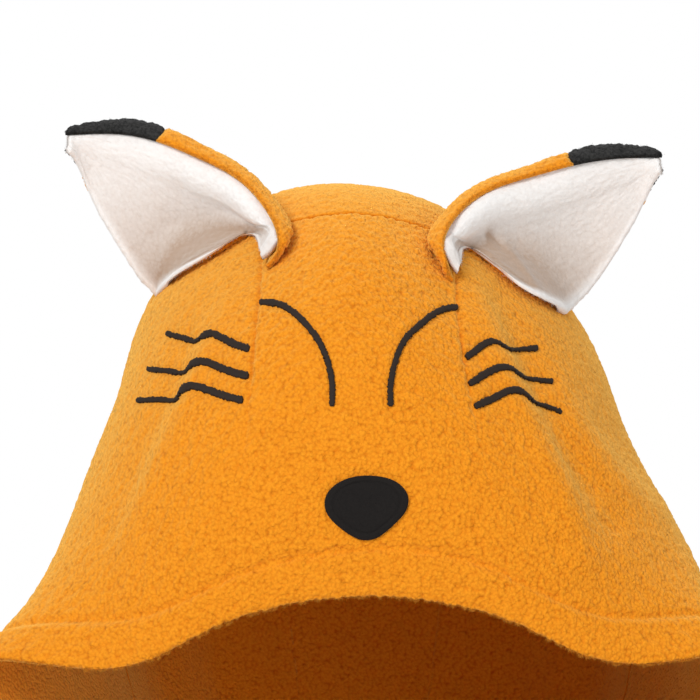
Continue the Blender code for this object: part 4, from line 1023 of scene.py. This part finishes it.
bodyCut = {
    "cloth": 2.4, "across": (0.0, 0.35, 0.7, 1.0),
    "neckEnd": 0.13, "underarm": 0.25, "crotch": 0.62,   # places along
    "front": [
        # at, middle edge, point, point, outer edge
        (0.00, (77, -2, 2), (114, 3, -10), (155, 9, -27), (192, 14, -46)),
        (0.06, (55, -42, -14), (100, -50, -36), (148, -46, -60), (191, -40, -84)),
        (0.13, (0, -66, -34), (64, -98, -84), (134, -98, -118), (186, -88, -148)),
        (0.25, (0, -140, -200), (78, -146, -222), (158, -112, -250), (208, -8, -272)),
        (0.36, (0, -152, -390), (95, -146, -400), (186, -92, -410), (230, 0, -416)),
        (0.48, (0, -158, -560), (104, -152, -570), (200, -94, -576), (240, 4, -580)),
        (0.56, (0, -124, -668), (92, -138, -664), (192, -94, -662), (234, 5, -660)),
        (0.62, (0, 0, -722), (70, -108, -722), (168, -90, -722), (218, 6, -722)),
        (0.70, (17, 5, -820), (66, -84, -820), (150, -76, -820), (200, 8, -820)),
        (0.82, (34, 8, -980), (72, -62, -980), (138, -58, -980), (178, 10, -980)),
        (0.93, (50, 10, -1140), (80, -44, -1140), (126, -42, -1140), (156, 11, -1140)),
        (1.00, (62, 12, -1240), (84, -29, -1240), (118, -29, -1240), (140, 12, -1240)),
    ],
    "back": [
        (0.00, (77, -2, 2), (114, 3, -10), (155, 9, -27), (192, 14, -46)),
        (0.06, (60, 38, 12), (106, 58, -14), (154, 66, -46), (200, 60, -84)),
        (0.13, (0, 55, 15), (66, 98, -36), (142, 110, -84), (206, 86, -150)),
        (0.25, (0, 122, -150), (80, 132, -196), (160, 104, -246), (208, -8, -272)),
        (0.36, (0, 132, -390), (95, 130, -400), (186, 86, -410), (230, 0, -416)),
        (0.48, (0, 160, -560), (104, 152, -570), (200, 98, -576), (240, 4, -580)),
        (0.56, (0, 130, -668), (92, 142, -664), (192, 100, -662), (234, 5, -660)),
        (0.62, (0, 0, -722), (70, 112, -722), (168, 98, -722), (218, 6, -722)),
        (0.70, (17, 5, -820), (66, 94, -820), (150, 88, -820), (200, 8, -820)),
        (0.82, (34, 8, -980), (72, 78, -980), (138, 74, -980), (178, 10, -980)),
        (0.93, (50, 10, -1140), (80, 64, -1140), (126, 62, -1140), (156, 11, -1140)),
        (1.00, (62, 12, -1240), (84, 53, -1240), (118, 53, -1240), (140, 12, -1240)),
    ],
    "span": (240, 1280),      # width and length that the folds are laid out on
    "folds": [
        # panel, side (0 is both), height, half width, one end (a, b), other end
        ("front", 0, 6.9, 38, (0.62, 0.20), (0.20, 0.40)), ("front", 0, -5.8, 36, (0.80, 0.30), (0.45, 0.46)),
        ("front", 0, 5.8, 36, (0.25, 0.50), (0.62, 0.60)), ("front", 0, 5.8, 34, (0.30, 0.72), (0.70, 0.79)),
        ("front", 0, -4.6, 34, (0.62, 0.84), (0.30, 0.90)), ("back", 0, 6.9, 38, (0.70, 0.16), (0.30, 0.34)),
        ("back", 0, -5.8, 36, (0.35, 0.40), (0.72, 0.50)), ("back", 0, 6.9, 38, (0.30, 0.60), (0.72, 0.66)),
        ("back", 0, 5.8, 34, (0.68, 0.76), (0.30, 0.82)),
        ("front", 1, 7, 14, (0.85, 0.24), (0.45, 0.33)), ("front", -1, 6, 13, (0.80, 0.22), (0.50, 0.29)),
        ("front", 1, -6, 12, (0.90, 0.34), (0.50, 0.38)), ("front", -1, -6, 13, (0.85, 0.31), (0.42, 0.37)),
        ("front", 1, 8.1, 15, (0.15, 0.57), (0.60, 0.645)), ("front", -1, 8.1, 14, (0.12, 0.56), (0.55, 0.66)),
        ("front", 1, 6, 12, (0.22, 0.60), (0.80, 0.62)), ("front", -1, 6.1, 12, (0.25, 0.615), (0.75, 0.60)),
        ("front", 1, 6, 13, (0.25, 0.77), (0.80, 0.80)), ("front", -1, 6, 14, (0.30, 0.80), (0.75, 0.77)),
        ("front", 1, 7, 12, (0.20, 0.94), (0.80, 0.925)), ("front", -1, 7, 12, (0.25, 0.93), (0.85, 0.95)),
        ("front", 1, 6, 10, (0.30, 0.97), (0.85, 0.98)), ("front", -1, 6, 10, (0.15, 0.975), (0.70, 0.97)),
        ("back", 1, 7, 14, (0.85, 0.22), (0.40, 0.27)), ("back", -1, 7, 13, (0.80, 0.20), (0.45, 0.29)),
        ("back", 1, -6, 13, (0.20, 0.44), (0.65, 0.42)), ("back", -1, -6, 14, (0.25, 0.41), (0.70, 0.45)),
        ("back", 1, 8.1, 15, (0.12, 0.60), (0.60, 0.59)), ("back", -1, 8.1, 14, (0.15, 0.62), (0.55, 0.58)),
        ("back", 1, 7, 13, (0.25, 0.79), (0.80, 0.77)), ("back", -1, 6, 12, (0.20, 0.78), (0.75, 0.80)),
        ("back", 1, 7, 12, (0.25, 0.93), (0.85, 0.95)), ("back", -1, 7, 12, (0.15, 0.95), (0.75, 0.93)),
        ("front", 1, 6, 12, (0.34, 0.16), (0.46, 0.31)), ("front", -1, 5.5, 11, (0.38, 0.17), (0.55, 0.35)),
        ("front", 1, 6, 10, (0.14, 0.635), (0.62, 0.70)), ("front", -1, 6.5, 11, (0.16, 0.645), (0.66, 0.685)),
        ("front", 1, -5, 10, (0.25, 0.86), (0.78, 0.84)), ("front", -1, 5.5, 10, (0.2, 0.87), (0.7, 0.89)),
        ("back", 1, 6, 12, (0.16, 0.18), (0.34, 0.36)), ("back", -1, 5.5, 12, (0.22, 0.20), (0.30, 0.42)),
        ("back", 1, 6, 11, (0.2, 0.655), (0.72, 0.64)), ("back", -1, 6, 11, (0.25, 0.65), (0.7, 0.67)),
        ("back", 1, 5, 10, (0.22, 0.72), (0.7, 0.745)), ("back", -1, -5, 10, (0.25, 0.73), (0.75, 0.72)),
    ],
    "foldEnds": (0.05, 0.95),
    "pile": 0.8, "clump": 9.0, "seamDip": 2.0, "seamWidth": 5.0, "tones": (0.35, 0.4),
    "columns": 46, "runs": ((0, 0.13, 30), (0.13, 0.25, 26), (0.25, 0.62, 88), (0.62, 1, 92)),   # start, end, rows
    "flat": (0.37, 1.285), "area": 0.335,
}


def edgeCurve(panel, point, start, end, b):
    rows = [row for row in bodyCut[panel] if start <= row[0] <= end]
    return splineAt([row[0] for row in rows], [row[point] for row in rows], np.clip(b, start, end))


# a body panel: the net's surface, drawn to the shared seams by (1 - a)^2 and a^3, and pushed out by its folds, each
# height * exp(-(distance / half width)^2) * sin(pi a)
def bodySurface(panel, side):
    along, across = np.array([row[0] for row in bodyCut[panel]]), np.array(bodyCut["across"])
    net = np.array([row[1:] for row in bodyCut[panel]], float)
    facing = -1 if panel == "front" else 1
    neckEnd, underarm, crotch = bodyCut["neckEnd"], bodyCut["underarm"], bodyCut["crotch"]
    width, length = bodyCut["span"]

    def surface(a, b):
        a, b = pairOf(a, b)
        neck = neckRing(0.5 + 0.5 * facing * limit(b / neckEnd))
        below = np.where((b > crotch)[..., None], edgeCurve(panel, 1, crotch, 1, b),
                         edgeCurve(panel, 1, neckEnd, crotch, b) * (0, 1, 1))
        middleEdge = np.where((b <= neckEnd)[..., None], neck, below)
        outerEdge = np.where((b < underarm)[..., None], edgeCurve(panel, 4, 0, underarm, b),
                             edgeCurve(panel, 4, underarm, 1, b))
        points = netAt(along, across, net, a, b)
        points = points + limit(1 - a)[..., None] ** 2 * (middleEdge - netAt(along, across, net, a * 0, b))
        points = points + limit(a)[..., None] ** 3 * (outerEdge - netAt(along, across, net, a * 0 + 1, b))
        for name, onSide, height, halfWidth, start, end in bodyCut["folds"]:
            if name == panel and onSide in (0, side):
                distance, place = distanceToPath(a * width, b * length, np.array([start, end]) * (width, length))
                ends = 1 if onSide == 0 else swell(place, bodyCut["foldEnds"])
                points[..., 1] += facing * height * bell(distance, halfWidth) * ends * np.sin(np.pi * limit(a))
        return points * (side, 1, 1)
    return surface


sleeveCut = {
    "shoulder": (165, 25, -45), "elbow": (309, -151, -216), "wrist": (200, -185, 0),
    "armholeReach": (90, 100),      # half widths of the armhole, across the arm's plane and beside it
    "flat": (0.46, 0.46), "area": 0.135,
    "rings": [
        # at, centre, half width across the arm's plane, half width beside it
        (0.29, (250, -70, -172), 68, 52), (0.43, (270, -93, -194), 52, 54), (0.56, (287, -112, -212), 37, 54),
        (0.66, (318, -156, -222), 36, 54), (0.76, (314, -182, -184), 34, 50), (0.88, (272, -188, -112), 38, 44),
        (1.00, (222, -181, -38), 34, 37),
    ],
    "rows": 120,
    "creases": [
        # height, place along, half width along, slant, middle of the arc (radians round the ring), half the arc
        (4.8, 0.30, 0.022, 0.03, 0.4, 1.3), (-4.8, 0.36, 0.020, -0.02, 2.6, 1.1),
        (5.6, 0.42, 0.022, 0.03, 3.3, 1.2), (5.6, 0.52, 0.018, 0.02, 0.2, 1.2),
        (-4.8, 0.565, 0.016, -0.02, 0.0, 1.1), (5.6, 0.61, 0.018, -0.02, 0.3, 1.3),
        (4.8, 0.69, 0.016, 0.03, 0.1, 1.0), (4, 0.78, 0.018, 0.04, 2.4, 1.2), (-4, 0.84, 0.016, -0.03, 0.8, 1.2),
        (4.8, 0.91, 0.016, 0.02, 3.6, 1.4), (4.5, 0.955, 0.014, -0.02, 1.2, 1.5),
    ],
}
cuffCut = {
    "cloth": 2.8,
    "rows": [(0.3, 1.0), (10, 0.92), (34, 0.91), (56, 0.94)],   # distance from the seam, scale
    "steps": 28, "gather": 0.8, "gathers": 30, "gatherReach": 14, "wander": (1.5, 3),
    "stitch": (42, 0.9, 1.6),       # place of the hem's stitch line, depth, half width
    "wrist": ((0.225, 0.056), 0.0119), "ankle": ((0.275, 0.056), 0.0143),   # flat size, area
}


# the sleeve: rings round the raised arm, from the panels' own armhole points to the cuff. Each ring is
# centre + across * cos t + beside * sin t, and a crease lifts it by
# height * exp(-(distance / half width)^2) * cos(pi turn / (2 arc))^2
def sleevePoints(front, back, hole, side):
    armhole = np.concatenate([front[:hole, -1], back[hole - 2:0:-1, -1]]) * (side, 1, 1)
    shoulder, elbow, wrist = (np.array(sleeveCut[joint], float) for joint in ("shoulder", "elbow", "wrist"))
    beside = unit(np.cross(elbow - shoulder, wrist - elbow))
    rings = [armhole]
    centres = np.array([armhole.mean(axis=0)] + [row[1] for row in sleeveCut["rings"]], float)
    across = unit(np.cross(beside, centres[1] - centres[0]))
    spread, (acrossReach, besideReach) = armhole - centres[0], sleeveCut["armholeReach"]
    turns = np.unwrap(np.arctan2(spread @ beside / besideReach, spread @ across / acrossReach))
    for (_, centre, halfAcross, halfBeside), along in zip(sleeveCut["rings"], np.gradient(centres, axis=0)[1:]):
        across = unit(np.cross(beside, along))
        rings.append(np.array(centre) + np.outer(np.cos(turns), across) * halfAcross
                     + np.outer(np.sin(turns), beside) * halfBeside)
    places = np.array([0.0] + [row[0] for row in sleeveCut["rings"]])
    at = np.linspace(0, 1, sleeveCut["rows"] + 1)
    points = splineAt(places, np.array(rings), at) * (side, 1, 1)
    out = gridNormals(points, wrap=True)
    ring = sleeveCut["rows"] // 3
    out *= np.sign((out[ring] * (points[ring] - points[ring].mean(axis=0))).sum())
    rise = np.zeros(points.shape[:2])
    for height, place, halfWidth, slant, middle, halfArc in sleeveCut["creases"]:
        turn = np.mod(turns - middle * side + np.pi, 2 * np.pi) - np.pi
        arc = np.cos(np.clip(turn / halfArc, -1, 1) * np.pi / 2)
        rise += height * bell(at[:, None] - place - slant * turn, halfWidth) * arc ** 2
    return points + out * rise[..., None], out


# a shell over a grid's points: clumps, and at each sewn edge a dip of seamDip * exp(-(distance / seamWidth)^2)
def clothShell(name, points, out, thick, wrap=False, dips=(0, 0, 0, 0), lift=0.0):
    pile = clumps(points, bodyCut["clump"], seeds["body"])
    rise = (pile - 0.5) * bodyCut["pile"] + lift
    for distance, dip in zip(edgeDistances(points), dips):
        if dip:
            rise = rise - bodyCut["seamDip"] * bell(distance, bodyCut["seamWidth"])
    outer = points + out * (thick / 2 + rise)[..., None]
    inner = (points - out * thick / 2)[::2, ::2]
    # tone darker in the clumps' pits: a painted shade
    low, more = bodyCut["tones"]
    return shell(name, outer, inner, fleece, tone=low + more * pile, wrap=wrap)


# a cuff: scaled copies of the ring it is sewn to, gathered by
# gather * sin(n t / 2 + wander * sin(3 t)) * exp(-distance / reach)
def makeCuff(name, ring, axis, sizes):
    cut, centre = cuffCut, ring.mean(axis=0)
    at = np.linspace(cut["rows"][0][0], cut["rows"][-1][0], cut["steps"] + 1)
    scale = splineAt([row[0] for row in cut["rows"]], [row[1] for row in cut["rows"]], at)
    points = centre + (ring - centre) * scale[:, None, None] + unit(axis) * at[:, None, None]
    out = gridNormals(points, wrap=True)
    out *= np.sign((out * (points - points.mean(axis=1, keepdims=True))).sum())
    turn = np.linspace(0, 2 * np.pi, len(ring), endpoint=False)
    (wander, pace), (place, depth, halfWidth) = cut["wander"], cut["stitch"]
    gather = cut["gather"] * np.sin(turn * cut["gathers"] / 2 + wander * np.sin(turn * pace))
    lift = gather * np.exp(-at[:, None] / cut["gatherReach"]) - depth * bell(at[:, None] - place, halfWidth)
    made = clothShell(name + "_cloth", points, out, cut["cloth"], wrap=True, lift=lift)
    cloth(made, name, "orange_fleece", *sizes)


# the four panels and the sleeves. Where they meet, their normals are averaged, so that the seams are mitred.
def makeBody():
    runs = [np.linspace(start, end, count + 1)[:-1] for start, end, count in bodyCut["runs"]]
    rows = np.concatenate(runs + [[1.0]])
    hole = int(np.searchsorted(rows, bodyCut["underarm"] - 1e-9)) + 1
    a, b = np.meshgrid(np.linspace(0, 1, bodyCut["columns"] + 1), rows)
    grids = {}
    for side, sign in (("left", 1), ("right", -1)):
        for panel, facing in (("front", -sign), ("back", sign)):
            points = bodySurface(panel, sign)(a, b)
            grids[panel + "_" + side] = (points, gridNormals(points) * facing)
        grids["sleeve_" + side] = sleevePoints(grids["front_" + side][0], grids["back_" + side][0], hole, sign)
    points, normals = (np.concatenate([grid[i].reshape(-1, 3) for grid in grids.values()]) for i in (0, 1))
    _, same = np.unique(np.round(points, 1) + 0.0, axis=0, return_inverse=True)
    totals = np.zeros((same.max() + 1, 3))
    np.add.at(totals, same.ravel(), normals)
    merged = unit(totals[same.ravel()])
    start = 0
    for name, (points, _) in grids.items():
        size = points[..., 0].size
        out = merged[start:start + size].reshape(points.shape)
        start += size
        sleeve = name.startswith("sleeve")
        cut, dips = (sleeveCut, (0, 0, 1, 1)) if sleeve else (bodyCut, (1, 1, 1, 1))
        made = clothShell(name + "_cloth", points, out, bodyCut["cloth"], wrap=sleeve, dips=dips)
        cloth(made, name, "orange_fleece", cut["flat"], cut["area"], held="stretched" if sleeve else "hung")
    for side in ("left", "right"):
        sleeve = grids["sleeve_" + side][0]
        axis = sleeve[-1].mean(axis=0) - sleeve[-5].mean(axis=0)
        makeCuff("cuff_wrist_" + side, sleeve[-1], axis, cuffCut["wrist"])
        leg = np.concatenate([grids["front_" + side][0][-1], grids["back_" + side][0][-1, -2:0:-1]])
        makeCuff("cuff_ankle_" + side, leg, np.array((0, 0, -1.0)), cuffCut["ankle"])


makeBody()
print("body made")

placketCut = {
    "width": 30, "top": 0.14, "end": 0.47, "over": 1.9, "cloth": 2.4, "columns": 24, "rows": 260,
    "stitch": (2.6, 0.7, 0.7),      # distance of the stitch line from the edge, depth, half width
    "edge": (0.8, 1.2),             # how far the edge is rounded down: depth, half width
    "pile": 0.5, "clump": 6.0, "sunk": 0.8,
    "search": (200, 5),             # first guess of the panel's width, and rounds of Newton's rule
    "flat": (0.030, 0.556), "area": 0.0166,
}
buttonCut = {
    "places": (0.185, 0.245, 0.310, 0.375, 0.440), "radius": 9.0, "thick": 3.2, "rim": 0.78, "dish": 0.9,
    "steps": 36, "slope": 0.1, "rounding": 0.75, "underside": 0.96,
    "holeAt": 1.68, "holeRadius": 0.9, "holeDepth": 1.6, "holeSlope": 0.35,
    "overPlacket": 2.9, "steady": (3.0, 0.01),     # how far beside and along the cloth's slope is read
    "threadWidth": 1.0, "threadReach": 2.1, "threadRise": 0.9, "threadSunk": 0.2, "threadThick": 0.4,
    "threadRound": (0.95, 0.9),
}
frontHalf = bodySurface("front", 1)


# the body's front at distance x from its centre line; a comes from Newton's rule
def frontAt(x, b):
    reach, step, (startWidth, rounds) = np.abs(x), search["step"], placketCut["search"]
    a = reach / startWidth
    for _ in range(rounds):
        here = frontHalf(a, b)[..., 0]
        a = a - (here - reach) / ((frontHalf(a + step, b)[..., 0] - here) / step)
    return frontHalf(a, b) * np.stack([np.where(x < 0, -1, 1), np.ones_like(x), np.ones_like(x)], axis=-1)


# the placket: a strip over the front, whose edge and stitch line sink by depth * exp(-(distance / half width)^2)
def makePlacket():
    cut, half = placketCut, placketCut["width"] / 2
    points = frontAt(*gridOf((-half, half), (cut["top"], cut["end"]), cut["columns"], cut["rows"]))
    out = -gridNormals(points)
    out *= -np.sign(out[cut["rows"] // 2, cut["columns"] // 2, 1])
    pile = clumps(points, cut["clump"], seeds["body"])
    edge = np.minimum.reduce(edgeDistances(points))
    place, stitchDepth, stitchWidth = cut["stitch"]
    depth, halfWidth = cut["edge"]
    lift = (pile - 0.5) * cut["pile"] - depth * bell(edge, halfWidth)
    lift -= stitchDepth * bell(edge - place, stitchWidth)
    base = bodyCut["cloth"] / 2 + cut["over"] - cut["cloth"] / 2
    outer = points + out * (base + cut["cloth"] + lift)[..., None]
    inner = (points + out * (base - cut["sunk"]))[::2, ::2]
    # tone darker in the clumps' pits: a painted shade
    low, more = bodyCut["tones"]
    cloth(shell("placket_cloth", outer, inner, fleece, tone=low + more * pile), "placket", "orange_fleece",
          cut["flat"], cut["area"])


# a button: a disc with a rounded edge, a raised rim, a dished middle and four holes, over a flat underside; and two
# bars of thread, each an arch of rise * sqrt(1 - (s round)^2) * sqrt(1 - (w round)^2)
def makeButton(number, place):
    cut = buttonCut
    x, y = discGrid((-1, 1), (-1, 1), cut["steps"])
    r = np.hypot(x, y)
    height = cut["thick"] * (1 - limit((r - 1 + cut["slope"]) / cut["slope"]) ** 2 * cut["rounding"])
    height -= cut["dish"] * limit((cut["rim"] - r) / cut["slope"])
    x, y = x * cut["radius"], y * cut["radius"]
    for sideX, sideY in ((1, 1), (1, -1), (-1, 1), (-1, -1)):
        hole = np.hypot(x - sideX * cut["holeAt"], y - sideY * cut["holeAt"])
        height -= cut["holeDepth"] * limit((cut["holeRadius"] - hole) / cut["holeSlope"])
    beside, along = cut["steady"]
    spot = frontAt(np.array([-beside, 0.0, beside]), np.full(3, place))
    above, below = (frontAt(np.zeros(1), np.array([place + step]))[0] for step in (-along, along))
    right, up = unit(spot[2] - spot[0]), unit(above - below)
    out = unit(np.cross(right, up))
    out *= -np.sign(out[1])
    base = spot[1] + out * (bodyCut["cloth"] / 2 + cut["overPlacket"])
    outer = base + x[..., None] * right + y[..., None] * up + height[..., None] * out
    inner = (base + cut["underside"] * (x[..., None] * right + y[..., None] * up))[::2, ::2]
    button = shell("button_%d_shell" % number, outer, inner, buttonFinish)
    trim(button, "button_%d" % number)
    s, w = np.meshgrid(np.linspace(-1, 1, 25), np.linspace(-1, 1, 9), indexing="ij")
    roundS, roundW = cut["threadRound"]
    arch = cut["threadRise"] * np.sqrt(1 - (roundS * s) ** 2) * np.sqrt(1 - (roundW * w) ** 2)
    flat = (s * cut["threadReach"])[..., None] * up + (w * cut["threadWidth"] / 2)[..., None] * right
    for bar, sideX in enumerate((1, -1)):
        over = base + right * (sideX * cut["holeAt"]) + out * (cut["thick"] - cut["dish"] - cut["threadSunk"])
        outer, inner = over + flat + arch[..., None] * out, (over + flat - cut["threadThick"] * out)[::2, ::2]
        trim(shell("button_%d_thread_%d" % (number, bar), outer, inner, thread))


makePlacket()
for number, place in enumerate(buttonCut["places"], 1):
    makeButton(number, place)
print("placket and buttons made")

fringeCut = {
    "counts": (("hood_face", 5200), ("hood_cheek_left", 7000), ("hood_cheek_right", 7000)),
    "lengths": (0.6, 1.8), "sunk": 1.2, "lean": 0.35,
}
for name, count in fringeCut["counts"]:
    outer = hoodOuter[name]
    out = gridNormals(outer)[0]
    out *= np.sign((out @ np.array((0, -1.0, 0))).sum())
    edge = outer[0] - out * fringeCut["sunk"]
    outward = unit(unit(outer[0] - outer[3]) + fringeCut["lean"] * out)
    hairs = edgeFibres(name + "_fringe", edge, outward, count, fringeCut["lengths"], fuzz["fringeRadius"], fleece)
    trim(hairs)
print("fringe made")

stageSet = {
    "floorAt": -1380, "floorSize": 16, "floorColour": (0.86, 0.86, 0.86), "floorRoughness": 0.8,
    # strength of the surrounding light: behind the object, from below (this height on a unit sphere) and from above
    "backdrop": 1.0, "lightBelow": 0.44, "below": -0.6, "lightAbove": 0.68,
    "aim": (0, -0.05, 0.16),        # where the lights point, in metres
    "lights": [
        # name, place in metres, size, watts
        ("key", (-1.3, -2.5, 1.7), 1.2, 61), ("fill", (1.2, -2.4, -0.2), 2.0, 17),
        ("top", (0.3, 1.4, 2.2), 1.6, 22),
    ],
    "camera": (-0.0067, -1.715, 0.220), "lens": 195.9, "sensor": 36, "clip": (0.05, 60),
}


def makeFloor():
    half, low = stageSet["floorSize"] / 2, stageSet["floorAt"] * mm
    mesh = bpy.data.meshes.new("floor")
    corners = [(x, y, low) for x, y in ((-half, -half), (half, -half), (half, half), (-half, half))]
    mesh.from_pydata(corners, [], [(0, 1, 2, 3)])
    mesh.materials.append(plain("floor paint", stageSet["floorColour"], stageSet["floorRoughness"]))
    linked("floor", mesh)


def makeLights():
    for name, place, size, watts in stageSet["lights"]:
        lamp = bpy.data.lights.new(name, "AREA")
        lamp.size, lamp.energy = size, watts
        made = linked(name, lamp)
        made.location = place
        made.rotation_mode = "QUATERNION"
        made.rotation_quaternion = (Vector(stageSet["aim"]) - Vector(place)).to_track_quat("-Z", "Y")
        made.visible_camera = False


# the surrounding light: seen as a plain backdrop, and as light stronger from above than from below
def makeWorld():
    world = bpy.context.scene.world or bpy.data.worlds.new("studio")
    bpy.context.scene.world = world
    world.use_nodes = True
    nodes, links = world.node_tree.nodes, world.node_tree.links
    back = nodes["Background"]
    back.inputs["Color"].default_value = (1, 1, 1, 1)
    sky, height, path, shaded, level = (nodes.new("ShaderNode" + kind) for kind in (
        "TexCoord", "SeparateXYZ", "LightPath", "MapRange", "MapRange"))
    shaded.inputs["From Min"].default_value = stageSet["below"]
    shaded.inputs["To Min"].default_value = stageSet["lightBelow"]
    shaded.inputs["To Max"].default_value = stageSet["lightAbove"]
    level.inputs["To Max"].default_value = stageSet["backdrop"]
    links.new(sky.outputs["Generated"], height.inputs["Vector"])
    links.new(height.outputs["Z"], shaded.inputs["Value"])
    links.new(shaded.outputs["Result"], level.inputs["To Min"])
    links.new(path.outputs["Is Camera Ray"], level.inputs["Value"])
    links.new(level.outputs["Result"], back.inputs["Strength"])


def makeCamera():
    data = bpy.data.cameras.new("camera")
    data.sensor_width, data.lens = stageSet["sensor"], stageSet["lens"]
    data.clip_start, data.clip_end = stageSet["clip"]
    made = linked("camera", data)
    made.location = stageSet["camera"]
    made.rotation_euler = (np.pi / 2, 0, 0)
    bpy.context.scene.camera = made


makeFloor()
makeLights()
makeWorld()
makeCamera()
bpy.context.scene.view_settings.view_transform = "Standard"
print("stage made")
